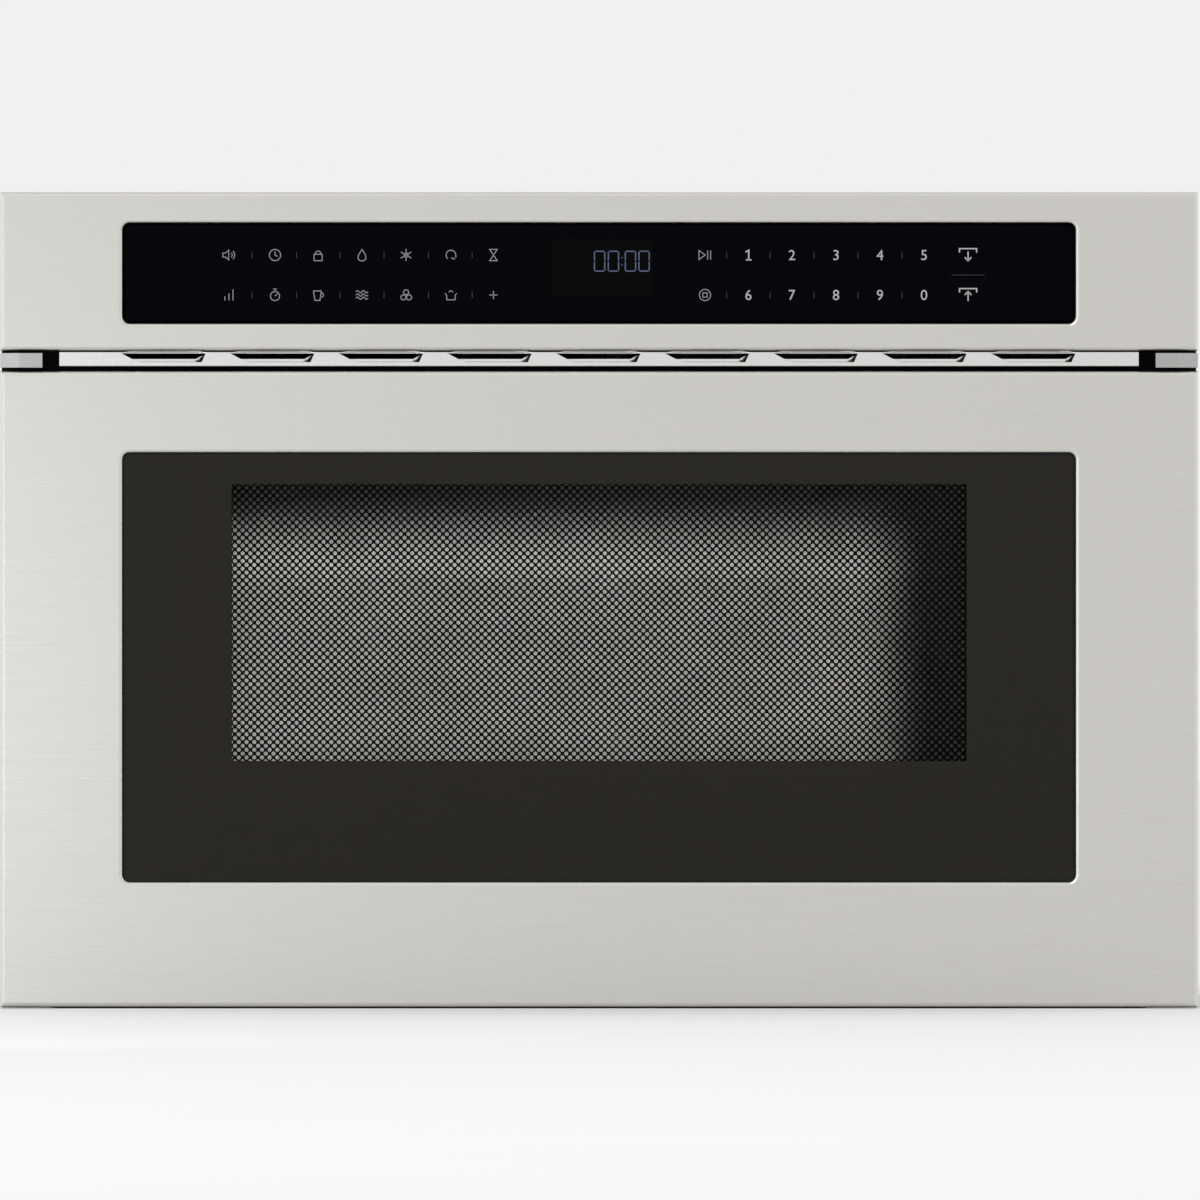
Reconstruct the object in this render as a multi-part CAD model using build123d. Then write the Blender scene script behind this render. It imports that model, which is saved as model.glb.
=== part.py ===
"""Built-in microwave drawer, 24 inch class: a motor-driven drawer under a touch fascia.

Frame: +X to the right, +Y into the cabinet (the front faces -Y), +Z up.
The origin is the centre of the bottom of the whole appliance. Sizes are in millimetres.
"""
from build123d import *
import os
from math import cos, sin, tan, radians, pi, sqrt, acos

# ---------------------------------------------------------------- front, as seen
front_width = 606.0           # drawer front and fascia, edge to edge
front_height = 412.8          # underside to the fascia's top; the drawer front takes what is left
lip_height = 0.6              # frame lip that shows under the drawer front
drawer_gap = 2.4              # dark gap between the drawer front and the vent strip
vent_height = 7.3             # height of the vent strip
fascia_gap = 0.7              # shadow gap between the vent strip and the fascia
fascia_height = 80.2          # visible height of the control fascia
overall_depth = 590.0         # front face to the cord gland at the rear
front_proud = 33.0            # the front stands this far ahead of the cabinet face
skin_sheet = 1.0              # stainless sheet of the front pieces
skin_bend = 2.2               # outer radius of the folded front edges
skin_return = 24.0            # depth of the drawer front's folded sides
over = 1.0                    # cutters reach this far past what they cut

# ---------------------------------------------------------------- glass panels
glass_side = 63.35            # steel beside both front glasses
drawer_glass_rise = 64.55     # steel under the drawer glass
drawer_glass_drop = 42.65     # steel over the drawer glass
control_glass_rise = 15.05    # steel under the control glass
control_glass_drop = 16.95    # steel over the control glass
glass_radius = 2.3            # corner radius of both glasses
glass_thickness = 4.0
glass_recess = 0.5            # glass face behind the steel face
glass_fit = 1.05              # gap round a glass in its cut-out
glass_bend = 2.2              # outer radius of the rim that turns in round a glass
window_side = 53.75           # printed border beside the perforated field
window_rise = 59.75           # printed border under the field
window_drop = 14.55           # printed border over the field
screen_sheet = 0.8
screen_margin = 10.0          # plain border of the perforated screen
screen_fit = 0.5              # play of the screen in its carrier
inner_glass_thickness = 3.0
inner_glass_margin = 6.0      # inner glass overlaps the window tunnel by this
carrier_margin = 9.4          # glass carrier beyond the glass edge

# ---------------------------------------------------------------- vent strip
end_trim_width = 21.4
end_trim_drop = 0.6           # end trims below the strip
end_trim_slope = 9.8          # outer part of an end trim, folded back a little
end_trim_fall = 2.8           # how far that part falls back at its end
trim_gap = 8.6                # black gap between an end trim and the strip
vent_recess = 2.0             # strip face behind the drawer front's face
vent_sheet = 0.8
louvre_count = 9
louvre_left = 31.6            # plain steel left of the row of louvres
louvre_right = 31.0           # plain steel right of it
louvre_land = 11.6            # steel between two louvres
louvre_slant = 9.1            # the left end of a louvre leans in by this much down to its foot
louvre_curl = 2.0             # the right end leans in by this much
louvre_rise = 1.8             # foot of a louvre above the strip's lower edge
louvre_height = 2.1           # pressed lip of one louvre
louvre_slot = 2.4             # open slot above the lip
louvre_stand = 1.9            # the lip stands this far out of the strip
louvre_wall = 0.6             # sheet left in the pressed lip

# ---------------------------------------------------------------- housing
frame_overlap = 25.5          # frame beyond the wrapper, each side
body_drop = 27.8              # top of the wrapper below the fascia's top
housing_sheet = 1.0
base_sheet = 1.5
base_flange = 14.0            # upturned edge of the base plate
base_slot_length = 50.0       # drain and cooling slots of the base plate
base_slot_width = 5.0
base_slot_pitch = 12.0
base_slot_count = 6
base_slot_x = 60.0            # middle of each column of slots
base_slot_start = 202.0       # first slot behind the cabinet face
side_slot_length = 60.0       # cooling slots of the wrapper's sides
side_slot_width = 4.0
side_slot_pitch = 10.0
side_slot_count = 8
side_slot_rise = 17.0         # lowest slot above the cavity floor
side_slot_setback = 20.0      # slots start this far behind the cavity
rear_slot_width = 5.0         # outlet slots of the rear panel
rear_slot_pitch = 10.0
rear_slot_count = 9
rear_slot_height = 80.0
rear_slot_drop = 93.8         # foot of the outlet slots below the liner's top
frame_sheet = 1.5
frame_inset = 0.3             # frame edge inside the front's edge
frame_top_drop = 2.8          # frame edge below the fascia's top
frame_window_count = 6        # air windows of the frame behind the vent strip
frame_window_bar = 8.0
frame_window_side = 20.0      # frame left beside the row of windows
harness_x = 160.0             # cable openings behind the fascia
harness_width = 60.0
harness_height = 25.0
harness_radius = 4.0
gland_flange = 3.0            # the gland's collar stands out of the rear panel
rear_flange = 12.0            # inward flange at the wrapper's rear edge
flange_hole_radius = 2.5      # screw holes into the cabinet
flange_hole_inset = 13.0      # from the front's side edge
flange_hole_rise = 79.4       # lower holes above the drawer front's lower edge
flange_hole_drop = 42.2       # upper holes below the drawer front's upper edge
screw_head_radius = 3.5
screw_head_height = 2.0
screw_shank_radius = 1.9
screw_hole_radius = 2.0
rear_screw_length = 7.0
rear_screw_first = 60.0       # lowest screw of each side
rear_screw_pitch = 120.0
rear_screw_rows = 3
top_screw_pitch = 150.0
gland_side = 71.5             # wrapper's inner side to the gland's axis
gland_drop = 37.0             # gland below the filter board
gland_bore = 5.0
gland_radius = 12.0
gland_neck = 8.5
gland_neck_length = 9.0
gland_neck_play = 0.1
gland_nut = 4.0

# ---------------------------------------------------------------- cavity and drawer
side_space = 57.5             # wrapper's side to the cavity wall
cavity_rise = 102.4           # cavity floor above the drawer front's lower edge
cavity_drop = 34.2            # cavity ceiling below the drawer front's upper edge
machine_gap = 7.2             # free space between the cavity and the fan frame
liner_sheet = 0.8
liner_flange = 10.0           # liner's collar behind the front frame
wall_hole_radius = 2.0        # perforations for the lamp and the exhaust
wall_hole_pitch = 7.0
wall_hole_columns = 7
wall_hole_rows = 4
wall_hole_drop = 52.0         # lowest row below the ceiling
lamp_hole_start = 297.0       # lamp perforations behind the cabinet face
exhaust_hole_start = 147.0    # exhaust perforations behind the cabinet face
web_depth = 11.0              # front face to the choke frame's web
choke_sheet = 1.0
choke_inset = 3.0             # plateau edge outside the cavity mouth
choke_width = 26.0            # width of the choke channel
choke_cover_thickness = 2.0
drawer_clearance = 0.7        # closed drawer to the front frame
bumper_clearance = 0.3        # closed bumpers to the front frame
bumper_radius = 5.0
bumper_inset = 23.0           # from the front's side edge
bumper_rise = 29.4            # lower bumpers above the drawer front's lower edge
bumper_drop = 22.2            # upper bumpers below the drawer front's upper edge
tub_gap = 6.0                 # tub wall to cavity wall
tub_wall = 2.5
tub_lift = 4.0                # tub floor above the cavity floor
tub_floor = 3.0
tub_height = 110.0
tub_rear_gap = 10.0
tub_corner = 22.0             # radius of the tub's two rear corners
tub_rim = 3.0                 # rim flange beyond the wall
tray_thickness = 4.0          # glass-ceramic floor tray
tray_fit = 0.5
travel_reserve = 45.0         # cavity depth that the tub keeps inside with the drawer right out

# ---------------------------------------------------------------- telescopic slides
slide_overlap = 70.0          # slide length beyond the drawer's travel
slide_height = 45.6
slide_thickness = 12.7
slide_sheet = 1.2
slide_clear = 0.3             # play between nested members
slide_lip = 4.2               # inturned lip of the outer member
slide_bend = 1.5              # centre-line bend radius
slide_side = 27.8             # wrapper's inner side to the back of the slide
slide_drop = 29.0             # middle of the slides below the choke channel
slide_start = 7.0             # front end of the slides behind the cabinet face
slot_margin = 2.0             # frame slots are this much larger than what passes
bracket_sheet = 1.5
bracket_foot = 20.0

# ---------------------------------------------------------------- carriage, rack and pinion
arm_sheet = 1.5
arm_height = 32.0
arm_foot = 22.0
arm_flange = 12.0
brace_width = 25.0
brace_lip = 10.0
brace_lip_inset = 5.0
brace_stop = 7.0              # brace behind the frame with the drawer right out
foot_screw_low = -10.0        # screws of a foot, from the middle of the slides
foot_screw_high = 6.0
gear_module = 1.5
pinion_teeth = 18
dedendum = 1.25               # root depth in modules
pressure_angle = 20.0
backlash = 0.30               # total at the pitch line
flank_steps = 4               # straight pieces in one involute flank
tooth_overlap = 0.5           # teeth are drawn this far into the root circle
pinion_width = 10.0
pinion_setback = 22.0         # pinion axis behind the cabinet face
pinion_lift = 4.0             # gear above the middle of the slides
pinion_shaft_radius = 4.0
pinion_hub_radius = 8.0
pinion_hub_height = 4.0
pinion_gap = 1.0              # hub above the gearbox
shaft_play = 0.05             # radial running clearance of every shaft
shaft_depth = 8.0             # shaft length inside its bearing
shaft_end_play = 1.0
rack_width = 8.0
rack_back = 8.6               # solid strip behind the tooth roots
rack_pad_inset = 2.0          # the brace's pad stands back from the tooth roots
gearbox_width = 70.0
gearbox_length = 80.0
gearbox_ahead = 15.0          # gearbox in front of the pinion's axis
gearbox_height = 32.0
gearbox_corner = 5.0
gearbox_foot_radius = 5.0
gearbox_foot_inset = 8.0
motor_radius = 18.0
motor_length = 60.0
motor_lift = 3.0              # motor axis above the gearbox's middle
motor_boss_radius = 7.0
motor_boss = 5.0

# ---------------------------------------------------------------- interlock switches
switch_side = 13.5            # wrapper's inner side to the switches' middle
switch_rise = 37.0            # lower switch above the cavity floor
switch_drop = 38.0            # upper switch below the cavity ceiling
switch_width = 10.3
switch_depth = 15.9
switch_length = 27.8
switch_setback = 10.0         # switch face behind the cabinet face
terminal_width = 0.8
terminal_height = 6.0
terminal_length = 8.0
terminal_pitch = 9.0
plunger_radius = 1.7
plunger_reach = 2.5           # free plunger beyond the switch face
plunger_hold = 3.5            # plunger length inside the switch
plunger_play = 0.3
plunger_travel = 1.5
plunger_end_play = 1.0
striker_width = 5.0
striker_height = 14.0
striker_gap = 0.3             # closed striker to the free plunger
striker_foot = 2.0            # thickness of a striker's foot
striker_foot_side = 5.5       # foot beyond the finger, to the sides
striker_foot_rise = 3.0       # foot beyond the finger, up and down
switch_plate = 1.2
switch_plate_end = 22.0       # bracket beyond the outer switches
switch_plate_rear = 4.0       # bracket behind the switches
switch_plate_gap = 0.5        # bracket's foot to the wrapper

# ---------------------------------------------------------------- microwave source
guide_width = 100.0
guide_height = 38.0
guide_ahead = 55.0            # waveguide in front of the stirrer's axis
guide_rear_gap = 14.0         # waveguide to the rear panel
stirrer_setback = 212.0       # stirrer axis behind the cabinet face
stirrer_port = 30.0
stirrer_radius = 75.0
stirrer_vanes = 4
vane_width = 24.0
vane_sheet = 1.0
vane_tilt = 12.0
vane_root = 5.0
stirrer_hub_radius = 9.0
stirrer_hub_height = 6.0
dish_radius = 84.0
dish_depth = 16.0
dish_wall = 2.0
stirrer_shaft_radius = 3.0
stirrer_shaft_hole = 5.0      # hole in the waveguide for the shaft
stirrer_motor_radius = 25.0
stirrer_motor_height = 17.0
stirrer_ear = 8.0
stirrer_ear_width = 12.0
stirrer_ear_sheet = 1.5
stirrer_box_width = 20.0
stirrer_box_reach = 10.0
stirrer_box_root = 4.0        # overlap of the terminal box and the round body
stirrer_box_height = 12.0
magnetron_width = 80.0
magnetron_depth = 84.0
magnetron_height = 74.0
magnetron_sheet = 1.6
magnetron_fin_count = 6
fin_sheet = 0.8
fin_gap = 0.4                 # fins to the yoke's plates
fin_inset = 3.0
anode_radius = 20.0
anode_drop = 8.0              # anode's top below the waveguide
filter_box_height = 30.0
filter_box_side = 6.0
filter_box_ends = 8.0
antenna_radius = 7.5
antenna_reach = 24.0
antenna_collar = 2.0
antenna_play = 3.0            # waveguide's hole beyond the antenna
cutout_cap_radius = 8.0
cutout_cap_height = 9.0
cutout_rim_radius = 12.0
cutout_rim = 1.0
cutout_x = -140.0
cutout_setback = 322.0        # ceiling thermostat behind the cabinet face
lamp_holder = 30.0
lamp_holder_depth = 12.0
lamp_holder_height = 28.0
lamp_foot = 1.2
lamp_foot_length = 34.0
lamp_foot_height = 30.0
lamp_bulb_radius = 9.0
lamp_bulb_length = 34.0
lamp_bulb_offset = 16.0       # bulb axis from the cavity wall
lamp_setback = 55.0           # holder behind the first lamp perforation

# ---------------------------------------------------------------- fan and ducts
fan_square = 120.0
fan_depth = 35.0
fan_left_x = 100.0
fan_drop = 52.8               # fan axis below the liner's top
fan_bore_radius = 52.0
fan_tip_gap = 2.5
fan_hub_radius = 17.0
fan_hub_inset = 6.0           # wheel behind both faces of the frame
fan_blades = 7
fan_blade_sheet = 2.0
fan_blade_chord = 22.0
fan_blade_pitch = 38.0
fan_blade_root = 3.0
fan_blade_trim = 2.0          # blade ends are shortened so that their corners stay clear
fan_shaft_radius = 3.0
fan_motor_gap = 13.0
fan_motor_depth = 24.0
fan_motor_square = 60.0
fan_coil_inset = 2.0
fan_coil_width = 36.0
fan_coil_height = 14.0
fan_spider_sheet = 2.0
fan_spider_width = 10.0
fan_post_inset = 4.0
fan_post_radius = 3.0
duct_wall = 1.5
duct_margin = 4.0
exhaust_side_gap = 1.0        # duct to the wrapper's side
exhaust_inner_x = -90.0
exhaust_ahead = 10.0          # duct's leg in front of the first perforation
exhaust_leg_length = 65.0
exhaust_leg_drop = 62.0       # lower end of the leg below the ceiling
exhaust_run_rise = 22.0       # floor of the run above the ceiling
exhaust_run_over = 6.0        # top of the run above the vent strip

# ---------------------------------------------------------------- electrical parts
transformer_side = 136.5      # wrapper's inner side to the transformer's middle
transformer_rear = 59.0       # transformer and capacitor axes ahead of the rear panel
core_width = 96.0
core_depth = 60.0
core_height = 80.0
core_leg = 32.0
core_window = 16.0
core_window_height = 48.0
core_foot = 12.0
core_foot_inset = 10.0
core_foot_sheet = 2.0
coil_bulge = 13.0
coil_gap = 3.0
coil_fit = 0.4
coil_corner = 8.0
capacitor_side = 151.5        # wrapper's inner side to the capacitor's middle
capacitor_width = 54.0
capacitor_depth = 34.0
capacitor_height = 92.0
capacitor_tab_x = 12.0
capacitor_tab_width = 6.0
capacitor_tab_sheet = 1.0
capacitor_tab_height = 10.0
capacitor_stud_radius = 5.0
capacitor_stud_height = 3.0
clamp_sheet = 1.0
clamp_rise = 30.0
clamp_height = 14.0
clamp_leg_width = 14.0
clamp_foot = 14.0
diode_side = 73.5             # wrapper's inner side to the diode's lug
diode_lug_length = 30.0
diode_lug_width = 12.0
diode_lug_sheet = 1.2
diode_body_inset = 2.0
diode_body_length = 10.0
diode_body_width = 10.0
diode_body_height = 22.8
diode_hole_inset = 7.0
board_sheet = 1.6
filter_board_width = 105.0
filter_board_height = 80.0
filter_board_side = 21.5      # board to the wrapper's inner side
filter_board_drop = 43.0      # board's top below the wrapper's top
filter_post = 8.0
filter_post_radius = 3.0
filter_post_inset = 6.0
choke_coil_x = 30.0           # places on the board, from its lower left corner
choke_coil_z = 45.0
choke_coil_radius = 14.0
choke_coil_length = 22.0
filter_can_x = 55.0
filter_can_z = 20.0
filter_can_width = 30.0
filter_can_height = 25.0
filter_can_depth = 18.0
filter_strip_x = 50.0
filter_strip_z = 55.0
filter_strip_length = 45.0
filter_strip_height = 15.0
filter_strip_depth = 12.0
touch_margin = 1.6            # touch board inside the control glass
display_x = 12.0              # middle of the clock display
display_width = 40.0
display_height = 17.0
display_drop = 8.75           # display opening below the glass's upper edge
display_case_side = 6.0       # case beyond its opening, at the sides
display_case_rise = 5.0       # the same above and below
display_case_depth = 6.0
display_face_gap = 0.2
display_face_inset = 1.0
carrier_side = 4.5            # control carrier inside the glass's edge
carrier_wall = 2.0
carrier_rim = 0.2
board_setback = 10.0          # relay board behind the touch board
relay_count = 4
relay_pitch = 28.0
relay_width = 18.0
relay_height = 16.0
relay_depth = 10.0
relay_rise = 12.0
relay_x = -180.0
supply_x = 60.0
supply_width = 44.0
supply_height = 32.0
supply_depth = 11.0
supply_rise = 6.0
socket_count = 3
socket_x = -60.0
socket_pitch = 90.0
socket_width = 26.0
socket_height = 8.0
socket_depth = 7.0
socket_rise = 4.0
capsule_count = 2
capsule_x = -30.0
capsule_pitch = 18.0
capsule_radius = 5.0
capsule_depth = 10.0
capsule_rise = 30.0

# ---------------------------------------------------------------- derived places
half_front = front_width / 2
half_body = half_front - frame_overlap
half_cavity = half_body - side_space
half_inner = half_body - housing_sheet
front_y = -overall_depth / 2
cabinet_y = front_y + front_proud
frame_y = cabinet_y - frame_sheet
rear_y = overall_depth / 2 - gland_flange
rear_inner_y = rear_y - housing_sheet
drawer_bottom = lip_height
drawer_height = front_height - fascia_height - fascia_gap - vent_height - drawer_gap - lip_height
drawer_top = drawer_bottom + drawer_height
vent_bottom = drawer_top + drawer_gap
vent_top = vent_bottom + vent_height
half_vent = half_front - end_trim_width - trim_gap
lands = (louvre_count - 1) * louvre_land
louvre_length = (2 * half_vent - louvre_left - louvre_right - lands) / louvre_count
fascia_bottom = vent_top + fascia_gap
fascia_top = fascia_bottom + fascia_height
body_height = fascia_top - body_drop
half_glass = half_front - glass_side
drawer_glass_low = drawer_bottom + drawer_glass_rise
drawer_glass_high = drawer_top - drawer_glass_drop
control_glass_low = fascia_bottom + control_glass_rise
control_glass_high = fascia_top - control_glass_drop
glass_y = front_y + glass_recess
glass_back_y = glass_y + glass_thickness
half_window = half_glass - window_side
window_low = drawer_glass_low + window_rise
window_high = drawer_glass_high - window_drop
web_y = front_y + web_depth
web_back_y = web_y + choke_sheet
plateau_y = frame_y - drawer_clearance
cavity_floor = drawer_bottom + cavity_rise
cavity_top = drawer_top - cavity_drop
machine_depth = fan_square + machine_gap
cavity_rear_y = rear_inner_y - machine_depth - liner_sheet
liner_top = cavity_top + liner_sheet
plateau_half = half_cavity + choke_inset
plateau_low = cavity_floor - choke_inset
plateau_high = cavity_top + choke_inset
choke_half = plateau_half + choke_width
choke_low = plateau_low - choke_width
choke_high = plateau_high + choke_width
tub_half = half_cavity - tub_gap
tub_low = cavity_floor + tub_lift
tub_high = tub_low + tub_height
tub_rear_y = cavity_rear_y - tub_rear_gap
drawer_travel = cavity_rear_y - cabinet_y - travel_reserve
slide_length = drawer_travel + slide_overlap
slide_web_x = half_inner - slide_side
slide_inner_x = slide_web_x - slide_thickness
slide_center_z = choke_low - slide_drop
slide_y0 = cabinet_y + slide_start
slide_y1 = slide_y0 + slide_length
brace_front_y = cabinet_y + drawer_travel + brace_stop
carriage_rear_y = brace_front_y + brace_width
pitch_radius = gear_module * pinion_teeth / 2
pinion_root = pitch_radius - dedendum * gear_module
pinion_y = cabinet_y + pinion_setback
pinion_bottom = slide_center_z + pinion_lift
gearbox_top = pinion_bottom - pinion_hub_height - pinion_gap
gearbox_bottom = gearbox_top - gearbox_height
rack_bottom = pinion_bottom + (pinion_width - rack_width) / 2
rack_top = rack_bottom + rack_width
brace_bottom = slide_center_z + arm_height / 2
rack_tip_x = pitch_radius - gear_module
rack_root_x = pitch_radius + dedendum * gear_module
rack_back_x = rack_root_x + rack_back
switch_x = half_inner - switch_side
switch_heights = (cavity_floor + switch_rise, cavity_top - switch_drop)
switch_y = cabinet_y + switch_setback
plunger_tip_y = switch_y - plunger_reach
striker_tip_y = plunger_tip_y - striker_gap
stirrer_y = cabinet_y + stirrer_setback
guide_front_y = stirrer_y - guide_ahead
guide_rear_y = rear_inner_y - guide_rear_gap
guide_top = liner_top + guide_height
wall_hole_low = cavity_top - wall_hole_drop
fan_half = fan_square / 2
fan_y = rear_inner_y - fan_half
fan_center_z = liner_top - fan_drop
fan_right_x = fan_left_x + fan_depth
fan_motor_x = fan_right_x + fan_motor_gap
magnetron_y = fan_y
magnetron_low = liner_top - magnetron_height
transformer_x = half_inner - transformer_side
transformer_y = rear_inner_y - transformer_rear
capacitor_x = capacitor_side - half_inner
diode_x = diode_side - half_inner
flange_hole_x = half_front - flange_hole_inset
flange_hole_heights = (drawer_bottom + flange_hole_rise, drawer_top - flange_hole_drop)
bumper_heights = (drawer_bottom + bumper_rise, drawer_top - bumper_drop)
filter_board_high = body_height - filter_board_drop
filter_board_low = filter_board_high - filter_board_height
gland_x = gland_side - half_inner
gland_z = filter_board_low - gland_drop


# ---------------------------------------------------------------- shape helpers
def slab(x0, x1, y0, y1, z0, z1):
    """Block between two opposite corners."""
    block = Box(x1 - x0, y1 - y0, z1 - z0, align=(Align.MIN, Align.MIN, Align.MIN))
    return Pos(x0, y0, z0) * block


def round_slab(x0, x1, y0, y1, z0, z1, radius):
    """Block whose four corners are rounded as seen from the front."""
    face = RectangleRounded(x1 - x0, z1 - z0, radius)
    plane = Plane(origin=((x0 + x1) / 2, y0, (z0 + z1) / 2), x_dir=(1, 0, 0), z_dir=(0, 1, 0))
    return extrude(plane * face, amount=y1 - y0)


def rod(start, direction, length, radius):
    """Round bar from a start point along a direction."""
    bar = Cylinder(radius, length, align=(Align.CENTER, Align.CENTER, Align.MIN))
    return Plane(origin=start, z_dir=direction) * bar


def drill(place, direction, depth, radius):
    """Round cutter that starts a little ahead of the face it enters."""
    start = [at - over * way for at, way in zip(place, direction)]
    return rod(start, direction, depth + over, radius)


def both_sides(shape):
    """The shape and its mirror image across the middle of the appliance."""
    return [shape, mirror(shape, about=Plane.YZ)]


def group(solids):
    """Several separate solids as one node."""
    return Compound(children=[solid for shape in solids for solid in shape.solids()])


def screw(place, inward, shank):
    """Pan-head screw: the head stands on the place, the shank runs inward."""
    outward = (-inward[0], -inward[1], -inward[2])
    head = rod(place, outward, screw_head_height, screw_head_radius)
    recess = rod(place, outward, screw_head_height + over, screw_shank_radius / 2)
    lift = Vector(*outward) * (screw_head_height / 2)
    return head - Pos(lift.X, lift.Y, lift.Z) * recess + rod(place, inward, shank, screw_shank_radius)


# ---------------------------------------------------------------- housing
def base_plate():
    """Folded floor of the housing, which stands on the cut-out's floor."""
    plate = slab(-half_inner, half_inner, cabinet_y, rear_inner_y, 0, base_sheet)
    side = slab(half_inner - base_sheet, half_inner, cabinet_y, rear_inner_y, 0, base_flange)
    back_y = rear_inner_y - base_sheet
    back = slab(-half_inner, half_inner, back_y, rear_inner_y, 0, base_flange)
    plate += both_sides(side) + [back]
    slots = []
    for column in (-1, 1):
        for row in range(base_slot_count):
            x = column * base_slot_x - base_slot_length / 2
            y = cabinet_y + base_slot_start + row * base_slot_pitch
            slots.append(slab(x, x + base_slot_length, y, y + base_slot_width, -over, base_sheet + over))
    return plate - slots


def wrapper_slots():
    """Cooling slots in one side of the wrapper."""
    slots = []
    y = cavity_rear_y + side_slot_setback
    for row in range(side_slot_count):
        z = cavity_floor + side_slot_rise + row * side_slot_pitch
        slots.append(slab(half_inner - over, half_body + over, y, y + side_slot_length,
                          z, z + side_slot_width))
    return slots


def outer_wrapper():
    """Inverted U of sheet steel over the sides and top, with a flange at the rear."""
    top_inner = body_height - housing_sheet
    shell = slab(-half_body, half_body, cabinet_y, rear_inner_y, 0, body_height)
    shell -= slab(-half_inner, half_inner, cabinet_y - over, rear_inner_y + over, -over, top_inner)
    flange_y = rear_inner_y - housing_sheet
    side_low = base_flange + housing_sheet
    side = slab(half_inner - rear_flange, half_inner, flange_y, rear_inner_y, side_low, top_inner)
    top = slab(-half_inner, half_inner, flange_y, rear_inner_y, top_inner - rear_flange, top_inner)
    shell += both_sides(side) + [top]
    for slot in wrapper_slots():
        shell -= both_sides(slot)
    depth = housing_sheet + over
    return shell - [drill((x, flange_y, z), (0, 1, 0), depth, screw_hole_radius)
                    for x, z in rear_screw_places()]


def rear_screw_places():
    """Where the rear panel is screwed to the wrapper's flange."""
    edge = half_inner - rear_flange / 2
    top = body_height - housing_sheet - rear_flange / 2
    heights = [rear_screw_first + row * rear_screw_pitch for row in range(rear_screw_rows)]
    sides = [(side * edge, z) for z in heights for side in (-1, 1)]
    return sides + [(column * top_screw_pitch, top) for column in (-1, 0, 1)]


def rear_panel():
    """Rear cover with the fan's outlet slots and the hole for the cord gland."""
    panel = slab(-half_body, half_body, rear_inner_y, rear_y, 0, body_height)
    depth = housing_sheet + over
    panel -= drill((gland_x, rear_inner_y, gland_z), (0, 1, 0), depth, gland_neck)
    slots = []
    low = liner_top - rear_slot_drop
    for column in range(rear_slot_count):
        x = (column - (rear_slot_count - 1) / 2) * rear_slot_pitch
        slots.append(slab(x, x + rear_slot_width, rear_inner_y - over, rear_y + over,
                          low, low + rear_slot_height))
    return panel - slots - [drill((x, rear_inner_y, z), (0, 1, 0), depth, screw_hole_radius)
                            for x, z in rear_screw_places()]


def housing_screws():
    """Screws that hold the rear panel."""
    return group([screw((x, rear_y, z), (0, -1, 0), rear_screw_length) for x, z in rear_screw_places()])


def front_frame():
    """Steel face of the housing. Its edges are the flanges that lie on the cabinet."""
    half = half_front - frame_inset
    frame = slab(-half, half, frame_y, cabinet_y, 0, fascia_top - frame_top_drop)
    y0 = frame_y - over
    y1 = cabinet_y + over
    frame -= slab(-half_cavity, half_cavity, y0, y1, cavity_floor, cavity_top)
    low = slide_center_z - slide_height / 2 - slot_margin
    high = slide_center_z + slide_height / 2 + slot_margin
    inner_x = slide_inner_x - arm_sheet - arm_flange - slot_margin
    slide_slot = slab(inner_x, slide_web_x + slot_margin, y0, y1, low, high)
    frame -= both_sides(slide_slot)
    rack_low = rack_bottom - slot_margin
    rack_high = rack_top + slot_margin
    frame -= slab(rack_tip_x - slot_margin, rack_back_x + slot_margin, y0, y1, rack_low, rack_high)
    half_w = striker_width / 2 + slot_margin
    half_h = striker_height / 2 + slot_margin
    for z in switch_heights:
        frame -= slab(switch_x - half_w, switch_x + half_w, y0, y1, z - half_h, z + half_h)
    for x0, x1 in vent_windows():
        frame -= slab(x0, x1, y0, y1, vent_bottom + vent_sheet, vent_top - vent_sheet)
    for side in (-1, 1):
        x0 = side * harness_x - harness_width / 2
        frame -= round_slab(x0, x0 + harness_width, y0, y1, control_glass_low,
                            control_glass_low + harness_height, harness_radius)
    depth = frame_sheet + over
    return frame - [drill((x, frame_y, z), (0, 1, 0), depth, flange_hole_radius) for x, z in flange_holes()]


def vent_windows():
    """Openings of the front frame behind the vent strip."""
    usable = 2 * (half_body - frame_window_side)
    bars = (frame_window_count - 1) * frame_window_bar
    width = (usable - bars) / frame_window_count
    starts = [-usable / 2 + number * (width + frame_window_bar) for number in range(frame_window_count)]
    return [(start, start + width) for start in starts]


def flange_holes():
    """Places of the four screws into the cabinet."""
    return [(side * flange_hole_x, z) for z in flange_hole_heights for side in (-1, 1)]


def cord_gland():
    """Moulded bushing in the rear panel for the supply cord."""
    end_y = rear_y - gland_neck_length
    collar = rod((gland_x, rear_y, gland_z), (0, 1, 0), gland_flange, gland_radius)
    tube = rod((gland_x, end_y, gland_z), (0, 1, 0), gland_neck_length, gland_neck - gland_neck_play)
    ring = rod((gland_x, rear_inner_y - gland_nut, gland_z), (0, 1, 0), gland_nut, gland_radius)
    depth = gland_neck_length + gland_flange + over
    return collar + tube + ring - drill((gland_x, end_y, gland_z), (0, 1, 0), depth, gland_bore)


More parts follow.
